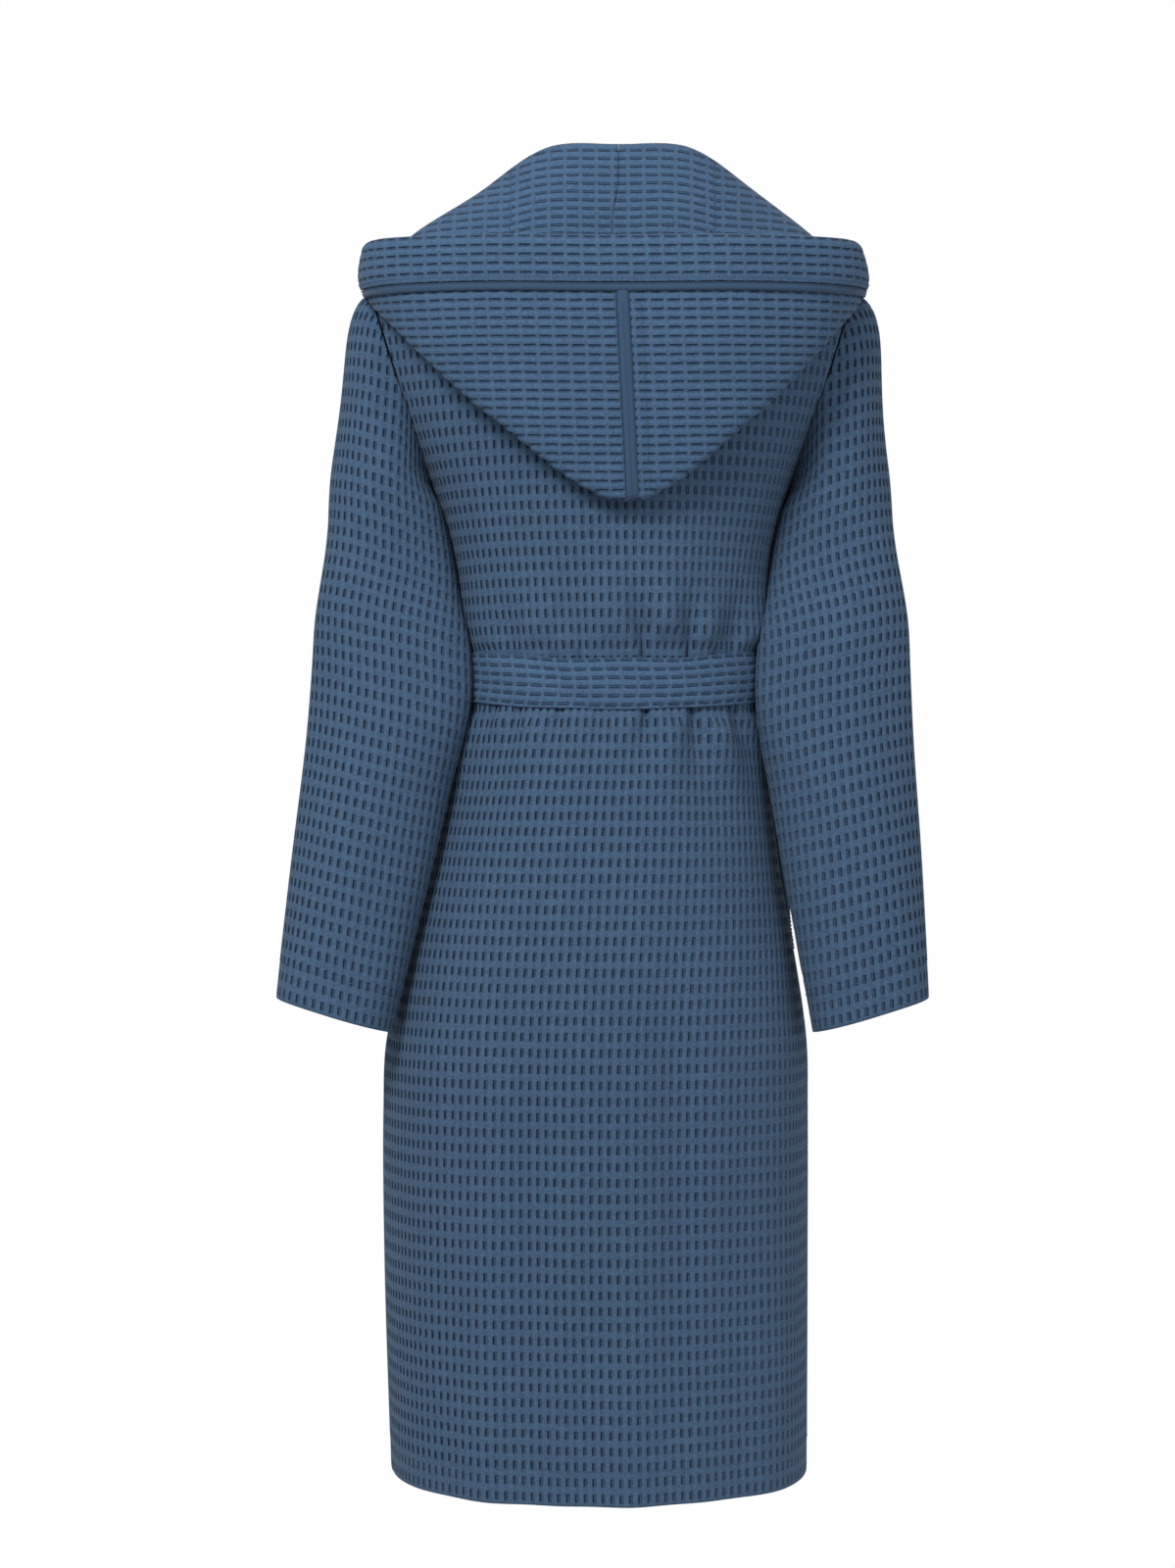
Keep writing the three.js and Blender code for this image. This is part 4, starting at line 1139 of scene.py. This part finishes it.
def stitchTree():
    tree = bpy.data.node_groups.new("stitch row", "GeometryNodeTree")
    tree.is_modifier = True
    tree.interface.new_socket("Geometry", in_out="INPUT", socket_type="NodeSocketGeometry")
    for label in ("Pitch", "Length", "Thread"):
        tree.interface.new_socket(label, in_out="INPUT", socket_type="NodeSocketFloat")
    tree.interface.new_socket("Finish", in_out="INPUT", socket_type="NodeSocketMaterial")
    tree.interface.new_socket("Geometry", in_out="OUTPUT", socket_type="NodeSocketGeometry")

    def add(kind, inputs=None, **settings):
        made = tree.nodes.new(kind)
        for key, value in settings.items():
            setattr(made, key, value)
        for key, value in (inputs or {}).items():
            if isinstance(value, bpy.types.NodeSocket):
                tree.links.new(value, made.inputs[key])
            else:
                made.inputs[key].default_value = value
        return made

    given = add("NodeGroupInput")
    row = add("GeometryNodeResampleCurve", {"Curve": given.outputs["Geometry"],
                                            "Length": given.outputs["Pitch"]}, mode="LENGTH")
    tangent = add("GeometryNodeInputTangent")
    turned = add("FunctionNodeAlignRotationToVector", {"Vector": tangent.outputs[0]}, axis="Z")
    bead = add("GeometryNodeMeshUVSphere", {"Segments": 6, "Rings": 4, "Radius": 0.5})
    size = add("ShaderNodeCombineXYZ", {0: given.outputs["Thread"], 1: given.outputs["Thread"],
                                        2: given.outputs["Length"]})
    placed = add("GeometryNodeInstanceOnPoints", {"Points": row.outputs[0], "Instance": bead.outputs["Mesh"],
                                                  "Rotation": turned.outputs[0], "Scale": size.outputs[0]})
    real = add("GeometryNodeRealizeInstances", {0: placed.outputs[0]})
    dyed = add("GeometryNodeSetMaterial", {"Geometry": real.outputs[0], "Material": given.outputs["Finish"]})
    add("NodeGroupOutput", {0: dyed.outputs[0]})
    return tree


stitchRows = stitchTree()


def stitches(name, bodyName, lines):
    curve = bpy.data.curves.new(name, "CURVE")
    curve.dimensions = "3D"
    for line in lines:
        spline = curve.splines.new("POLY")
        spline.points.add(len(line) - 1)
        spline.points.foreach_set("co", np.column_stack([line, np.ones(len(line))]).ravel())
    holder = addObject(name + "_path", curve)
    sewing = holder.modifiers.new("stitch row", "NODES")
    sewing.node_group = stitchRows
    items = stitchRows.interface.items_tree
    socket = {item.name: item.identifier for item in items if item.in_out == "INPUT"}
    sewing[socket["Pitch"]] = stitch["pitch"]
    sewing[socket["Length"]] = stitch["length"]
    sewing[socket["Thread"]] = stitch["thread"]
    sewing[socket["Finish"]] = threadFinish
    graph = bpy.context.evaluated_depsgraph_get()
    mesh = bpy.data.meshes.new_from_object(holder.evaluated_get(graph))
    bpy.data.objects.remove(holder)
    mesh.uv_layers.new(name="weave")
    piece = addObject(name, mesh)
    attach(piece, bodyName)


def hemLines():
    lines = []
    row = int(np.argmin(np.abs(panelRows[0] - body["hem"])))
    centre = backSections * [0, 0, 1]
    normal, _ = normalsOf(backSections, centre)
    lines.append(backSections[row, 3:-3] + normal[row, 3:-3] * (body["thickness"] / 2 + 0.0003))
    for side, (sections, walked, opening, middle) in frontGrids.items():
        normal, _ = normalsOf(sections, middle)
        edge = opening[row]
        keep = (walked[row] * side > edge * side + 0.002)
        lines.append((sections[row] + normal[row] * (body["thickness"] / 2 + 0.0003))[keep][2:-2])
    return lines


stitches("hem_stitches", "robe", hemLines() + pocketLines)
for name in sides:
    stitches(f"cuff_stitches_{name}", f"{name}_sleeve", sleeveLines[name])
reach = hood["bandReach"]
bandStitches = [bandRow(hood["band"] - 0.0035, 0.0071, reach), bandRow(hood["band"] + 0.0015, 0.0056, reach)]
tapeStitches = [np.stack([faceRow(np.array([s, s + 0.001]), d, 0.0, 1)[0] + [0, -0.0048, 0]
                          for d in np.linspace(0.052, 0.22, 80)]) for s in (0.008, 0.034)]
stitches("hood_stitches", "hood", bandStitches + tapeStitches)
print("stitches sewn")

# floor and light
studio = {"floorDrop": 0.35, "floorHalf": 1.0, "floor": (0.9, 0.9, 0.9, 1), "backdrop": 1.0, "world": 0.50}
# each lamp's place, what it points at, its size in metres and its power in watts
lamps = {
    "key": ((-1.3, -2.3, 2.6), (0, 0, 0.85), (1.0, 1.0), 76),
    "fill": ((1.9, -2.3, 1.6), (0, 0, 0.8), (1.4, 1.4), 18),
    "back": ((0.6, 2.4, 2.2), (0, 0, 0.9), (1.6, 1.6), 13),
}

floorMesh = bpy.data.meshes.new("floor")
level = hemHeight - studio["floorDrop"]
corners = [(x * studio["floorHalf"], y * studio["floorHalf"], level)
           for x, y in ((-1, -1), (1, -1), (1, 1), (-1, 1))]
floorMesh.from_pydata(corners, [], [(0, 1, 2, 3)])
floor = addObject("floor", floorMesh)
floorShader = Shader("pale_floor")
floorMesh.materials.append(floorShader.finish(studio["floor"], floorShader.node(
    "ShaderNodeBump", {}, {"Height": 0.0}), {"Roughness": 0.9}))


def areaLight(name, place, target, size, power):
    data = bpy.data.lights.new(name, "AREA")
    data.shape = "RECTANGLE"
    data.size, data.size_y = size
    data.energy = power
    light = addObject(name, data)
    light.location = place
    aim = np.array(target) - np.array(place)
    light.rotation_euler = (math.atan2(math.hypot(aim[0], aim[1]), -aim[2]), 0,
                            math.atan2(aim[1], aim[0]) - math.pi / 2)


for name, lamp in lamps.items():
    areaLight(name, *lamp)
world = bpy.data.worlds.new("studio")
world.use_nodes = True
world.node_tree.nodes["Background"].inputs["Color"].default_value = (1, 1, 1, 1)
ray = world.node_tree.nodes.new("ShaderNodeLightPath")
# the backdrop is seen brighter than it lights
strength = world.node_tree.nodes.new("ShaderNodeMapRange")
strength.inputs["To Min"].default_value = studio["world"]
strength.inputs["To Max"].default_value = studio["backdrop"]
world.node_tree.links.new(ray.outputs["Is Camera Ray"], strength.inputs["Value"])
world.node_tree.links.new(strength.outputs["Result"], world.node_tree.nodes["Background"].inputs["Strength"])
bpy.context.scene.world = world
bpy.context.scene.view_settings.view_transform = "Standard"
print("studio lit")
